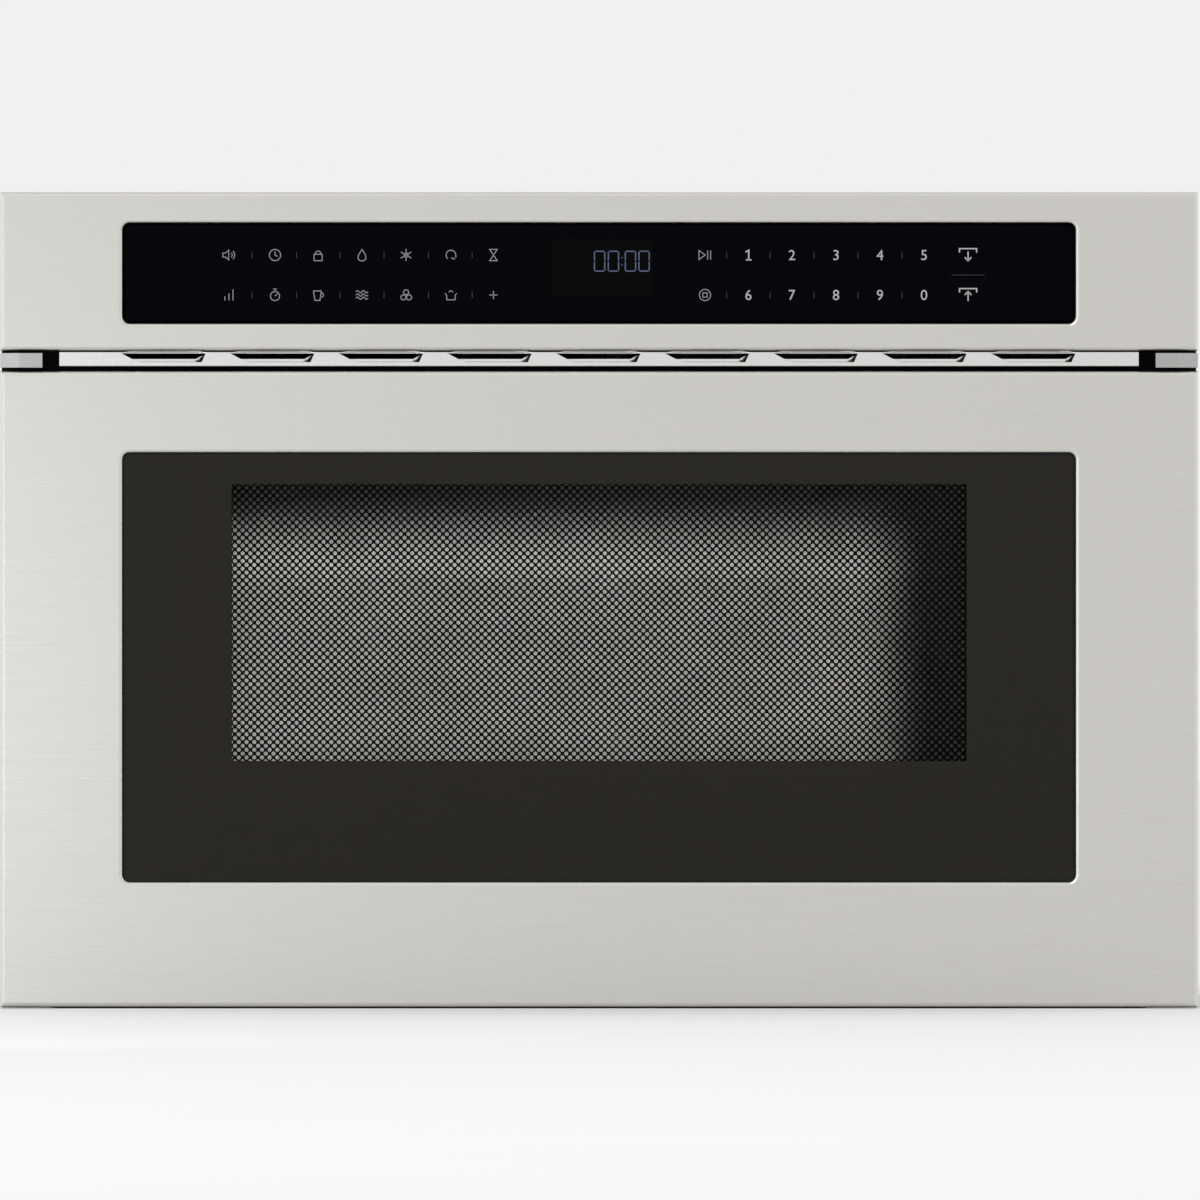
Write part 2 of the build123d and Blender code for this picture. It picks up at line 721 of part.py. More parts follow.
# ---------------------------------------------------------------- cavity
def cavity_liner():
    """Painted steel box of the oven, open to the front."""
    wall_x = half_cavity + liner_sheet
    shell = slab(-wall_x, wall_x, cabinet_y, cavity_rear_y + liner_sheet,
                 cavity_floor - liner_sheet, liner_top)
    collar_x = half_cavity + liner_flange
    shell += slab(-collar_x, collar_x, cabinet_y, cabinet_y + liner_sheet,
                  cavity_floor - liner_flange, cavity_top + liner_flange)
    shell -= slab(-half_cavity, half_cavity, cabinet_y - over, cavity_rear_y, cavity_floor, cavity_top)
    depth = liner_sheet + over
    shell -= drill((0, stirrer_y, cavity_top), (0, 0, 1), depth, stirrer_port)
    holes = []
    for column in range(wall_hole_columns):
        for row in range(wall_hole_rows):
            y = cabinet_y + column * wall_hole_pitch
            z = wall_hole_low + row * wall_hole_pitch
            lamp = (half_cavity, lamp_hole_start + y, z)
            exhaust = (-half_cavity, exhaust_hole_start + y, z)
            holes.append(drill(lamp, (1, 0, 0), depth, wall_hole_radius))
            holes.append(drill(exhaust, (-1, 0, 0), depth, wall_hole_radius))
    return shell - holes


def stirrer_cover():
    """Moulded dish under the ceiling that hides the stirrer."""
    low = cavity_top - dish_depth
    dish = rod((0, stirrer_y, low), (0, 0, 1), dish_depth, dish_radius)
    hollow = rod((0, stirrer_y, low + dish_wall), (0, 0, 1), dish_depth, dish_radius - dish_wall)
    return fillet((dish - hollow).faces().sort_by(Axis.Z)[0].edges(), dish_wall / 2)


def waveguide():
    """Box channel from the magnetron to the stirrer's port."""
    half = guide_width / 2
    sheet = housing_sheet
    tube = slab(-half, half, guide_front_y, guide_rear_y, liner_top, guide_top)
    tube -= slab(-half + sheet, half - sheet, guide_front_y + sheet, guide_rear_y - sheet,
                 liner_top + sheet, guide_top - sheet)
    tube -= drill((0, stirrer_y, liner_top), (0, 0, 1), sheet + over, stirrer_port)
    tube -= drill((0, stirrer_y, guide_top - sheet), (0, 0, 1), sheet + over, stirrer_shaft_hole)
    return tube - drill((0, magnetron_y, liner_top), (0, 0, 1), sheet + over, antenna_radius + antenna_play)


def stirrer_motor():
    """Flat synchronous motor on the waveguide, with a terminal box behind it."""
    body = rod((0, stirrer_y, guide_top), (0, 0, 1), stirrer_motor_height, stirrer_motor_radius)
    ear_x = stirrer_motor_radius + stirrer_ear
    half_ear = stirrer_ear_width / 2
    ear = slab(-ear_x, ear_x, stirrer_y - half_ear, stirrer_y + half_ear,
               guide_top, guide_top + stirrer_ear_sheet)
    half_box = stirrer_box_width / 2
    box_y = stirrer_y + stirrer_motor_radius
    box = slab(-half_box, half_box, box_y - stirrer_box_root, box_y + stirrer_box_reach,
               guide_top, guide_top + stirrer_box_height)
    depth = shaft_depth + shaft_end_play
    bore = drill((0, stirrer_y, guide_top), (0, 0, 1), depth, stirrer_shaft_radius + shaft_play)
    return body + ear + box - bore


def stirrer_blade():
    """Four-vaned reflector on a long shaft that hangs from its motor."""
    blade_z = cavity_top - dish_depth / 2
    shaft = rod((0, stirrer_y, blade_z), (0, 0, 1), guide_top + shaft_depth - blade_z, stirrer_shaft_radius)
    hub_z = blade_z - stirrer_hub_height / 2
    blade = shaft + rod((0, stirrer_y, hub_z), (0, 0, 1), stirrer_hub_height, stirrer_hub_radius)
    reach = sqrt(stirrer_radius ** 2 - (vane_width / 2) ** 2)
    for number in range(stirrer_vanes):
        vane = Box(reach - vane_root, vane_width, vane_sheet, align=(Align.MIN, Align.CENTER, Align.CENTER))
        turn = Rot(0, 0, number * 360 / stirrer_vanes)
        blade += Pos(0, stirrer_y, blade_z) * turn * Pos(vane_root, 0, 0) * Rot(vane_tilt, 0, 0) * vane
    return blade


def magnetron():
    """Magnetron yoke, filter box and antenna, hung under the waveguide's rear end."""
    half_w = magnetron_width / 2
    y0 = magnetron_y - magnetron_depth / 2
    y1 = magnetron_y + magnetron_depth / 2
    sheet = magnetron_sheet
    yoke = slab(-half_w, half_w, y0, y1, magnetron_low, liner_top)
    yoke -= slab(-half_w - over, half_w + over, y0 + sheet, y1 - sheet,
                 magnetron_low + sheet, liner_top - sheet)
    box_x = half_w - filter_box_side
    box = slab(-box_x, box_x, y0 + filter_box_ends, y1 - filter_box_ends,
               magnetron_low - filter_box_height, magnetron_low)
    collar_radius = antenna_radius + antenna_collar
    collar = rod((0, magnetron_y, liner_top - anode_drop), (0, 0, 1), anode_drop, collar_radius)
    antenna = rod((0, magnetron_y, liner_top), (0, 0, 1), antenna_reach, antenna_radius)
    return yoke + box + collar + antenna


def magnetron_fins():
    """Anode cylinder with its stack of cooling fins."""
    low = magnetron_low + magnetron_sheet
    high = liner_top - anode_drop
    stack = rod((0, magnetron_y, low), (0, 0, 1), high - low, anode_radius)
    pitch = (high - low) / (magnetron_fin_count + 1)
    half_d = magnetron_depth / 2 - magnetron_sheet - fin_gap
    half_w = magnetron_width / 2 - fin_inset
    for number in range(magnetron_fin_count):
        z = low + (number + 1) * pitch
        stack += slab(-half_w, half_w, magnetron_y - half_d, magnetron_y + half_d, z, z + fin_sheet)
    return stack


def cutout(place, direction):
    """Disc thermostat: a thin rim and a cap."""
    rim = rod(place, direction, cutout_rim, cutout_rim_radius)
    return rim + rod(place, direction, cutout_cap_height, cutout_cap_radius)


def thermal_cutouts():
    """Disc thermostats on the cavity's ceiling and on the magnetron's filter box."""
    ceiling = cutout((cutout_x, cabinet_y + cutout_setback, liner_top), (0, 0, 1))
    tube = cutout((0, magnetron_y, magnetron_low - filter_box_height), (0, 0, -1))
    return group([ceiling, tube])


def oven_lamp():
    """Lamp holder and bulb behind the perforations of the right wall."""
    wall = half_cavity + liner_sheet
    y = cabinet_y + lamp_hole_start + lamp_setback
    z = wall_hole_low + (wall_hole_rows - 1) * wall_hole_pitch / 2
    half_foot = lamp_foot_height / 2
    half_holder = lamp_holder_height / 2
    foot = slab(wall, wall + lamp_foot, y, y + lamp_foot_length, z - half_foot, z + half_foot)
    holder = slab(wall, wall + lamp_holder, y, y + lamp_holder_depth, z - half_holder, z + half_holder)
    bulb = rod((wall + lamp_bulb_offset, y, z), (0, -1, 0), lamp_bulb_length, lamp_bulb_radius)
    tip = Pos(wall + lamp_bulb_offset, y - lamp_bulb_length, z) * Sphere(lamp_bulb_radius)
    return group([foot + holder, bulb + tip])


# ---------------------------------------------------------------- cooling
def fan_housing():
    """Square fan frame on the rear panel."""
    frame = slab(fan_left_x, fan_right_x, fan_y - fan_half, fan_y + fan_half,
                 fan_center_z - fan_half, fan_center_z + fan_half)
    return frame - drill((fan_left_x, fan_y, fan_center_z), (1, 0, 0), fan_depth + over, fan_bore_radius)


def fan_impeller():
    """Axial fan wheel with its shaft."""
    tip_radius = fan_bore_radius - fan_tip_gap
    wheel_depth = fan_depth - 2 * fan_hub_inset
    start_x = fan_left_x + fan_hub_inset
    wheel = rod((start_x, fan_y, fan_center_z), (1, 0, 0), wheel_depth, fan_hub_radius)
    shaft_end = fan_motor_x + fan_motor_depth / 2
    wheel += rod((start_x, fan_y, fan_center_z), (1, 0, 0), shaft_end - start_x, fan_shaft_radius)
    root = fan_hub_radius - fan_blade_root
    length = tip_radius - root - fan_blade_trim
    middle = Pos(start_x + wheel_depth / 2, fan_y, fan_center_z)
    for number in range(fan_blades):
        blade = Box(fan_blade_sheet, fan_blade_chord, length, align=(Align.CENTER, Align.CENTER, Align.MIN))
        turn = Rot(number * 360 / fan_blades, 0, 0)
        wheel += middle * turn * Pos(0, 0, root) * Rot(0, 0, fan_blade_pitch) * blade
    return wheel


def fan_motor():
    """Shaded-pole motor on four posts of the fan frame."""
    half = fan_motor_square / 2
    end_x = fan_motor_x + fan_motor_depth
    body = slab(fan_motor_x, end_x, fan_y - half, fan_y + half, fan_center_z - half, fan_center_z + half)
    coil = slab(fan_motor_x + fan_coil_inset, end_x - fan_coil_inset, fan_y - fan_coil_width / 2,
                fan_y + fan_coil_width / 2, fan_center_z + half, fan_center_z + half + fan_coil_height)
    post = fan_half - fan_post_inset
    spider = Part()
    for turn in (45, -45):
        arm = Box(fan_spider_sheet, 2 * sqrt(2) * post, fan_spider_width,
                  align=(Align.MAX, Align.CENTER, Align.CENTER))
        spider += Pos(fan_motor_x, fan_y, fan_center_z) * Rot(turn, 0, 0) * arm
    posts = []
    for side_y in (-1, 1):
        for side_z in (-1, 1):
            place = (fan_right_x, fan_y + side_y * post, fan_center_z + side_z * post)
            posts.append(rod(place, (1, 0, 0), fan_motor_gap, fan_post_radius))
    depth = end_x - fan_right_x + over
    bore = drill((fan_right_x, fan_y, fan_center_z), (1, 0, 0), depth, fan_shaft_radius + shaft_play)
    return body + coil + spider + posts - bore


def air_duct():
    """Square sleeve that leads the fan's air to the magnetron's fins."""
    x0 = magnetron_width / 2
    y0 = magnetron_y - magnetron_depth / 2 - duct_margin
    y1 = magnetron_y + magnetron_depth / 2 + duct_margin
    z0 = magnetron_low - duct_margin
    z1 = liner_top - duct_wall
    sleeve = slab(x0, fan_left_x, y0, y1, z0, z1)
    return sleeve - slab(x0 - over, fan_left_x + over, y0 + duct_wall, y1 - duct_wall,
                         z0 + duct_wall, z1 - duct_wall)


def exhaust_duct():
    """Moulded duct from the cavity's left wall to the left half of the vent strip."""
    wall_x = -half_cavity - liner_sheet
    outer_x = -half_inner + exhaust_side_gap
    leg_y0 = cabinet_y + exhaust_hole_start - exhaust_ahead
    leg_y1 = leg_y0 + exhaust_leg_length
    leg_z0 = cavity_top - exhaust_leg_drop
    run_z0 = cavity_top + exhaust_run_rise
    run_z1 = vent_top + exhaust_run_over
    wall = duct_wall
    leg = slab(outer_x, wall_x, leg_y0, leg_y1, leg_z0, run_z0 + wall)
    run = slab(outer_x, exhaust_inner_x, cabinet_y, leg_y1, run_z0, run_z1)
    leg_hollow = slab(outer_x + wall, wall_x + over, leg_y0 + wall, leg_y1 - wall,
                      leg_z0 + wall, run_z0 + 2 * wall)
    run_hollow = slab(outer_x + wall, exhaust_inner_x - wall, cabinet_y - over, leg_y1 - wall,
                      run_z0 + wall, run_z1 - wall)
    return leg + run - leg_hollow - run_hollow


# ---------------------------------------------------------------- high voltage parts
def transformer_core():
    """Laminated core with its mounting feet."""
    x0 = transformer_x - core_width / 2
    x1 = x0 + core_width
    y0 = transformer_y - core_depth / 2
    y1 = y0 + core_depth
    core = slab(x0, x1, y0, y1, base_sheet, base_sheet + core_height)
    window_z = base_sheet + (core_height - core_window_height) / 2
    for side in (-1, 1):
        inner = transformer_x + side * core_leg / 2
        outer = inner + side * core_window
        core -= slab(min(inner, outer), max(inner, outer), y0 - over, y1 + over,
                     window_z, window_z + core_window_height)
    return core + slab(x0 - core_foot, x1 + core_foot, y0 + core_foot_inset, y1 - core_foot_inset,
                       base_sheet, base_sheet + core_foot_sheet)


def transformer_windings():
    """Primary and secondary coils round the core's middle leg."""
    window_z = base_sheet + (core_height - core_window_height) / 2
    coil_height = (core_window_height - coil_gap - 2 * coil_fit) / 2
    outer_x = core_leg / 2 + core_window - coil_fit
    outer_y = core_depth / 2 + coil_bulge
    inner_x = core_leg / 2 + coil_fit
    inner_y = core_depth / 2 + coil_fit
    coils = []
    for number in range(2):
        z = window_z + coil_fit + number * (coil_height + coil_gap)
        ring = Rectangle(2 * outer_x, 2 * outer_y)
        ring = fillet(ring.vertices(), coil_corner) - Rectangle(2 * inner_x, 2 * inner_y)
        coils.append(Pos(transformer_x, transformer_y, z) * extrude(ring, amount=coil_height))
    return group(coils)


def hv_capacitor():
    """Oval capacitor can with two terminals, and the clamp that holds it to the floor."""
    can = extrude(SlotOverall(capacitor_width, capacitor_depth), amount=capacitor_height)
    can = Pos(capacitor_x, transformer_y, base_sheet) * can
    top = base_sheet + capacitor_height
    half_tab = capacitor_tab_width / 2
    half_sheet = capacitor_tab_sheet / 2
    for side in (-1, 1):
        x = capacitor_x + side * capacitor_tab_x
        can += slab(x - half_tab, x + half_tab, transformer_y - half_sheet, transformer_y + half_sheet,
                    top, top + capacitor_tab_height)
        can += rod((x, transformer_y, top), (0, 0, 1), capacitor_stud_height, capacitor_stud_radius)
    strap = SlotOverall(capacitor_width + 2 * clamp_sheet, capacitor_depth + 2 * clamp_sheet)
    strap -= SlotOverall(capacitor_width, capacitor_depth)
    clamp = Pos(capacitor_x, transformer_y, base_sheet + clamp_rise) * extrude(strap, amount=clamp_height)
    leg_x0 = capacitor_x - clamp_leg_width / 2
    leg_x1 = capacitor_x + clamp_leg_width / 2
    leg_y = transformer_y - capacitor_depth / 2
    clamp += slab(leg_x0, leg_x1, leg_y - clamp_sheet, leg_y,
                  base_sheet, base_sheet + clamp_rise + clamp_sheet)
    clamp += slab(leg_x0, leg_x1, leg_y - clamp_foot, leg_y, base_sheet, base_sheet + clamp_sheet)
    return group([can, clamp])


def hv_diode():
    """Rectifier on a lug beside the capacitor."""
    lug_x1 = diode_x + diode_lug_length
    lug_top = base_sheet + diode_lug_sheet
    half_lug = diode_lug_width / 2
    half_body_y = diode_body_width / 2
    body_x = diode_x + diode_body_inset
    y = transformer_y
    lug = slab(diode_x, lug_x1, y - half_lug, y + half_lug, base_sheet, lug_top)
    body = slab(body_x, body_x + diode_body_length, y - half_body_y, y + half_body_y,
                lug_top, lug_top + diode_body_height)
    depth = diode_lug_sheet + over
    return lug + body - drill((lug_x1 - diode_hole_inset, y, base_sheet), (0, 0, 1), depth, screw_hole_radius)


def filter_board():
    """Mains filter board on posts of the rear panel."""
    x0 = filter_board_side - half_inner
    x1 = x0 + filter_board_width
    z0 = filter_board_low
    y1 = rear_inner_y - filter_post
    y0 = y1 - board_sheet
    board = slab(x0, x1, y0, y1, z0, filter_board_high)
    inset = filter_post_inset
    for x in (x0 + inset, x1 - inset):
        for z in (z0 + inset, filter_board_high - inset):
            board += rod((x, y1, z), (0, 1, 0), filter_post, filter_post_radius)
    board += rod((x0 + choke_coil_x, y0, z0 + choke_coil_z), (0, -1, 0), choke_coil_length, choke_coil_radius)
    can_x = x0 + filter_can_x
    can_z = z0 + filter_can_z
    board += slab(can_x, can_x + filter_can_width, y0 - filter_can_depth, y0,
                  can_z, can_z + filter_can_height)
    strip_x = x0 + filter_strip_x
    strip_z = z0 + filter_strip_z
    return board + slab(strip_x, strip_x + filter_strip_length, y0 - filter_strip_depth, y0,
                        strip_z, strip_z + filter_strip_height)


# ---------------------------------------------------------------- fascia and vent strip
def pierced_tray(low, high, depth, glass_low, glass_high):
    """Folded stainless front piece with a glazed cut-out whose rim turns inward."""
    tray = slab(-half_front, half_front, front_y, front_y + depth, low, high)
    tray = fillet(tray.faces().sort_by(Axis.Y)[0].edges(), skin_bend)
    hollow = slab(-half_front + skin_sheet, half_front - skin_sheet, front_y + skin_sheet,
                  front_y + depth + over, low + skin_sheet, high - skin_sheet)
    tray -= fillet(hollow.faces().sort_by(Axis.Y)[0].edges(), skin_bend - skin_sheet)
    fit = half_glass + glass_fit
    rim = fit + skin_sheet
    rim_reach = 2 * skin_bend
    tray += round_slab(-rim, rim, front_y + skin_sheet, glass_back_y, glass_low - glass_fit - skin_sheet,
                       glass_high + glass_fit + skin_sheet, glass_radius + glass_fit + skin_sheet)
    tray -= round_slab(-fit, fit, front_y - over, glass_back_y + over, glass_low - glass_fit,
                       glass_high + glass_fit, glass_radius + glass_fit)
    for face_y, radius in ((front_y + skin_sheet, glass_bend - skin_sheet), (front_y, glass_bend)):
        mouth = [edge for edge in tray.edges().filter_by_position(Axis.Y, face_y, face_y)
                 if abs(edge.center().X) <= rim + over
                 and low + rim_reach < edge.center().Z < high - rim_reach]
        tray = fillet(mouth, radius)
    return tray


def glass_pane(low, high, thickness):
    """Front glass that fills its cut-out, face just behind the steel."""
    return round_slab(-half_glass, half_glass, glass_y, glass_y + thickness, low, high, glass_radius)


def fascia_panel():
    """Brushed control fascia over the vent strip."""
    return pierced_tray(fascia_bottom, fascia_top, frame_y - front_y, control_glass_low, control_glass_high)


def display_window(grow, rise):
    """The clock's window, grown by a margin: x0, x1, z0, z1."""
    high = control_glass_high - display_drop
    half = display_width / 2 + grow
    return (display_x - half, display_x + half, high - display_height - rise, high + rise)


def touch_board():
    """Touch sensor board bonded to the back of the control glass, with a window for the clock."""
    half = half_glass - touch_margin
    board = slab(-half, half, glass_back_y, glass_back_y + board_sheet,
                 control_glass_low + touch_margin, control_glass_high - touch_margin)
    x0, x1, z0, z1 = display_window(0, 0)
    return board - slab(x0, x1, glass_back_y - over, glass_back_y + board_sheet + over, z0, z1)


def display_module():
    """Clock display behind the window of the touch board."""
    y0 = glass_back_y + board_sheet
    x0, x1, z0, z1 = display_window(display_case_side, display_case_rise)
    case = slab(x0, x1, y0, y0 + display_case_depth, z0, z1)
    x0, x1, z0, z1 = display_window(-display_face_inset, -display_face_inset)
    return case + slab(x0, x1, glass_back_y + display_face_gap, y0, z0, z1)


def control_carrier():
    """Moulded carrier that holds the boards on the front frame."""
    y0 = glass_back_y + board_sheet
    x1 = half_glass - carrier_side
    wall = carrier_wall
    z0 = control_glass_low + carrier_rim
    z1 = control_glass_high - carrier_rim
    ring = slab(-x1, x1, y0, frame_y, z0, z1)
    return ring - slab(-x1 + wall, x1 - wall, y0 - over, frame_y + over, z0 + wall, z1 - wall)


def control_board():
    """Relay and logic board inside the carrier."""
    x1 = half_glass - carrier_side - carrier_wall
    z0 = control_glass_low + carrier_rim + carrier_wall
    z1 = control_glass_high - carrier_rim - carrier_wall
    y0 = glass_back_y + board_sheet + board_setback
    back = y0 + board_sheet
    board = slab(-x1, x1, y0, back, z0, z1)
    for number in range(relay_count):
        x = relay_x + number * relay_pitch
        z = z0 + relay_rise
        board += slab(x, x + relay_width, back, back + relay_depth, z, z + relay_height)
    z = z0 + supply_rise
    board += slab(supply_x, supply_x + supply_width, back, back + supply_depth, z, z + supply_height)
    z = z0 + socket_rise
    for number in range(socket_count):
        x = socket_x + number * socket_pitch
        board += slab(x, x + socket_width, back, back + socket_depth, z, z + socket_height)
    for number in range(capsule_count):
        x = capsule_x + number * capsule_pitch
        board += rod((x, back, z0 + capsule_rise), (0, 1, 0), capsule_depth, capsule_radius)
    return board


def louvre_outline(start, low, high, inset):
    """A louvre's outline between two heights: its ends lean in towards the foot."""
    foot = vent_bottom + louvre_rise
    top = foot + louvre_height + louvre_slot
    end = start + louvre_length
    lean_low = (top - low) / (top - foot)
    lean_high = (top - high) / (top - foot)
    outline = Polyline((start + louvre_slant * lean_high + inset, high),
                       (start + louvre_slant * lean_low + inset, low),
                       (end - louvre_curl * lean_low - inset, low),
                       (end - louvre_curl * lean_high - inset, high), close=True)
    back = Plane(origin=(0, front_y + vent_recess + vent_sheet, 0), x_dir=(1, 0, 0), z_dir=(0, -1, 0))
    return back * make_face(outline)


def louvre_wedge(start, wall):
    """One pressed louvre: a wedge that stands out at its head, narrower at its foot.

    With a wall it is the hollow inside the louvre, open to the slot above it.
    """
    y0 = front_y + vent_recess
    foot = vent_bottom + louvre_rise
    head = foot + louvre_height
    rise = louvre_height * wall / louvre_stand
    side = Plane.YZ.offset(start)
    corners = [(y0 + wall, foot + rise), (y0 - louvre_stand + wall, head), (y0 + wall, head)]
    profile = make_face(Polyline(*corners, close=True))
    wedge = extrude(side * profile, amount=louvre_length)
    return wedge & extrude(louvre_outline(start, foot, head, wall), amount=louvre_stand + vent_sheet)


def vent_grille():
    """Louvred stainless strip between the fascia and the drawer front."""
    y0 = front_y + vent_recess
    back = y0 + vent_sheet
    strip = slab(-half_vent, half_vent, y0, frame_y, vent_bottom, vent_top)
    strip -= slab(-half_vent - over, half_vent + over, back, frame_y + over,
                  vent_bottom + vent_sheet, vent_top - vent_sheet)
    head = vent_bottom + louvre_rise + louvre_height
    slots = []
    for number in range(louvre_count):
        start = louvre_left - half_vent + number * (louvre_length + louvre_land)
        slot = louvre_outline(start, head, head + louvre_slot, louvre_wall)
        strip += louvre_wedge(start, 0)
        slots.append(louvre_wedge(start, louvre_wall))
        slots.append(extrude(slot, amount=vent_sheet + over, both=True))
    return strip - slots


def end_trims():
    """Folded stainless ends beside the vent strip."""
    x0 = half_front - end_trim_width
    crease = half_front - end_trim_slope
    fall_y = front_y + end_trim_fall
    outer = Polyline((x0, front_y), (crease, front_y), (half_front, fall_y), (half_front, frame_y),
                     (x0, frame_y), close=True)
    inner = Polyline((x0 + skin_sheet, front_y + skin_sheet), (crease, front_y + skin_sheet),
                     (half_front - skin_sheet, fall_y + skin_sheet), (half_front - skin_sheet, frame_y + over),
                     (x0 + skin_sheet, frame_y + over), close=True)
    low = vent_bottom - end_trim_drop
    trim = extrude(Pos(0, 0, low) * make_face(outer), amount=vent_height)
    trim -= extrude(Pos(0, 0, low + skin_sheet) * make_face(inner), amount=vent_height - 2 * skin_sheet)
    return group(both_sides(trim))


# ---------------------------------------------------------------- drawer front
def drawer_front():
    """Brushed stainless skin of the drawer."""
    return pierced_tray(drawer_bottom, drawer_top, skin_return, drawer_glass_low, drawer_glass_high)


def glass_carrier():
    """Moulded frame between the drawer glass and the choke frame."""
    x1 = half_glass + carrier_margin
    low = drawer_glass_low - carrier_margin
    frame = slab(-x1, x1, glass_back_y, web_y, low, drawer_glass_high + carrier_margin)
    grow = screen_margin + screen_fit
    hole_x = half_window + grow
    return frame - slab(-hole_x, hole_x, glass_back_y - over, web_y + over,
                        window_low - grow, window_high + grow)


def perforated_screen():
    """Steel screen that keeps the microwaves in. Its holes are far finer than the sheet is wide."""
    x1 = half_window + screen_margin
    return slab(-x1, x1, web_y - screen_sheet, web_y, window_low - screen_margin, window_high + screen_margin)


def foot_screw_places():
    """Where the carriage's feet are screwed to the drawer front: x, z."""
    x = slide_inner_x - arm_foot / 2 - arm_sheet
    lifts = (foot_screw_low, foot_screw_high)
    return [(side * x, slide_center_z + lift) for lift in lifts for side in (-1, 1)]


def foot_screw_holes():
    """Drills for the screws through the web and the carriage's feet."""
    depth = choke_sheet + arm_sheet + over
    return [drill((x, web_y, z), (0, 1, 0), depth, screw_hole_radius) for x, z in foot_screw_places()]


def choke_frame():
    """Pressed steel core of the drawer front: web, choke channel, plateau and window tunnel."""
    sheet = choke_sheet
    web_x = half_front - skin_sheet
    web = slab(-web_x, web_x, web_y, web_back_y, drawer_bottom + skin_sheet, drawer_top - skin_sheet)
    outer_x = choke_half + sheet
    tunnel_x = half_window + sheet
    outer = slab(-outer_x, outer_x, web_y, plateau_y, choke_low - sheet, choke_high + sheet)
    channel = slab(-choke_half, choke_half, web_back_y, plateau_y + over, choke_low, choke_high)
    inner = slab(-plateau_half, plateau_half, web_y, plateau_y, plateau_low, plateau_high)
    hollow = slab(-plateau_half + sheet, plateau_half - sheet, web_back_y, plateau_y - sheet,
                  plateau_low + sheet, plateau_high - sheet)
    tunnel = slab(-tunnel_x, tunnel_x, web_y, plateau_y, window_low - sheet, window_high + sheet)
    window = slab(-half_window, half_window, web_y - over, plateau_y + over, window_low, window_high)
    return web + (outer - channel) + (inner - hollow) + tunnel - window - foot_screw_holes()


def choke_cover():
    """Moulded ring that closes the choke channel."""
    y0 = plateau_y - choke_cover_thickness
    ring = slab(-choke_half, choke_half, y0, plateau_y, choke_low, choke_high)
    return ring - slab(-plateau_half, plateau_half, y0 - over, plateau_y + over, plateau_low, plateau_high)


def inner_glass():
    """Pane on the cavity side of the window."""
    margin = inner_glass_margin
    x1 = half_window + margin
    return round_slab(-x1, x1, plateau_y, plateau_y + inner_glass_thickness, window_low - margin,
                      window_high + margin, glass_radius)


def tub_outline(grow, y_rear, front):
    """Plan of the tub: straight sides, two rounded rear corners, open line at the front."""
    half = tub_half + grow
    plan = Pos(0, (front + y_rear) / 2) * Rectangle(2 * half, y_rear - front)
    return fillet(plan.vertices().sort_by(Axis.Y)[-2:], tub_corner + grow)


def drawer_tub():
    """Moulded drawer body: floor, two sides and a rear wall with a rolled rim."""
    shell = Pos(0, 0, tub_low) * extrude(tub_outline(0, tub_rear_y, plateau_y), amount=tub_height)
    rim_plan = tub_outline(tub_rim, tub_rear_y + tub_rim, plateau_y + 2 * tub_rim)
    rim = Pos(0, 0, tub_high - tub_rim) * extrude(rim_plan, amount=tub_rim)
    rim = fillet(rim.faces().sort_by(Axis.Z)[-1].edges(), tub_rim / 3)
    inner_plan = tub_outline(-tub_wall, tub_rear_y - tub_wall, plateau_y - over)
    return shell + rim - Pos(0, 0, tub_low + tub_floor) * extrude(inner_plan, amount=tub_height)


def floor_tray():
    """Glass-ceramic floor that the food stands on."""
    grow = -tub_wall - tray_fit
    front = plateau_y + inner_glass_thickness
    plan = tub_outline(grow, tub_rear_y + grow, front)
    return Pos(0, 0, tub_low + tub_floor) * extrude(plan, amount=tray_thickness)


# ---------------------------------------------------------------- slides and carriage
def slide_member(points, side, start, length):
    """Rolled slide member: a sheet section (distance from the back, height) carried along Y."""
    line = FilletPolyline(*points, radius=slide_bend)
    section = trace(line, slide_sheet)
    plane = Plane(origin=(slide_web_x, start, slide_center_z), x_dir=(-1, 0, 0), z_dir=(0, 1, 0))
    member = extrude(plane * section, amount=length)
    return member if side > 0 else mirror(member, about=Plane.YZ)


def slide_channel(side, step):
    """Channel with inturned lips, one step smaller than the space of the slide on every side."""
    half = slide_sheet / 2
    top = slide_height / 2 - half - step
    back = half + step
    front = slide_thickness - half - step
    lip = top - slide_lip
    points = [(front, lip), (front, top), (back, top), (back, -top), (front, -top), (front, -lip)]
    return slide_member(points, side, slide_y0, slide_length)


def slide_outer(side):
    """Fixed member: the channel that the bracket carries."""
    return slide_channel(side, 0)


def slide_mid(side):
    """Middle member: a smaller channel inside the fixed one."""
    return slide_channel(side, slide_sheet + slide_clear)


def slide_inner():
    """Drawer members: hat sections trapped behind the middle members' lips."""
    step = slide_sheet + slide_clear
    half = slide_sheet / 2
    front = slide_thickness - half
    brim = slide_thickness - half - 2 * step
    tip = slide_height / 2 - 2 * step
    shoulder = arm_height / 2 - half
    upper = [(brim, tip), (brim, shoulder), (front, shoulder)]
    points = upper + [(x, -z) for x, z in reversed(upper)]
    return group([slide_member(points, side, slide_y0, slide_length) for side in (1, -1)])


def slide_brackets():
    """Angles on the base plate that carry the fixed members."""
    outer = slide_web_x + bracket_sheet
    top = slide_center_z + slide_height / 2
    wall = slab(slide_web_x, outer, slide_y0, slide_y1, base_sheet, top)
    foot = slab(slide_web_x, outer + bracket_foot, slide_y0, slide_y1, base_sheet, base_sheet + bracket_sheet)
    return group(both_sides(wall + foot))


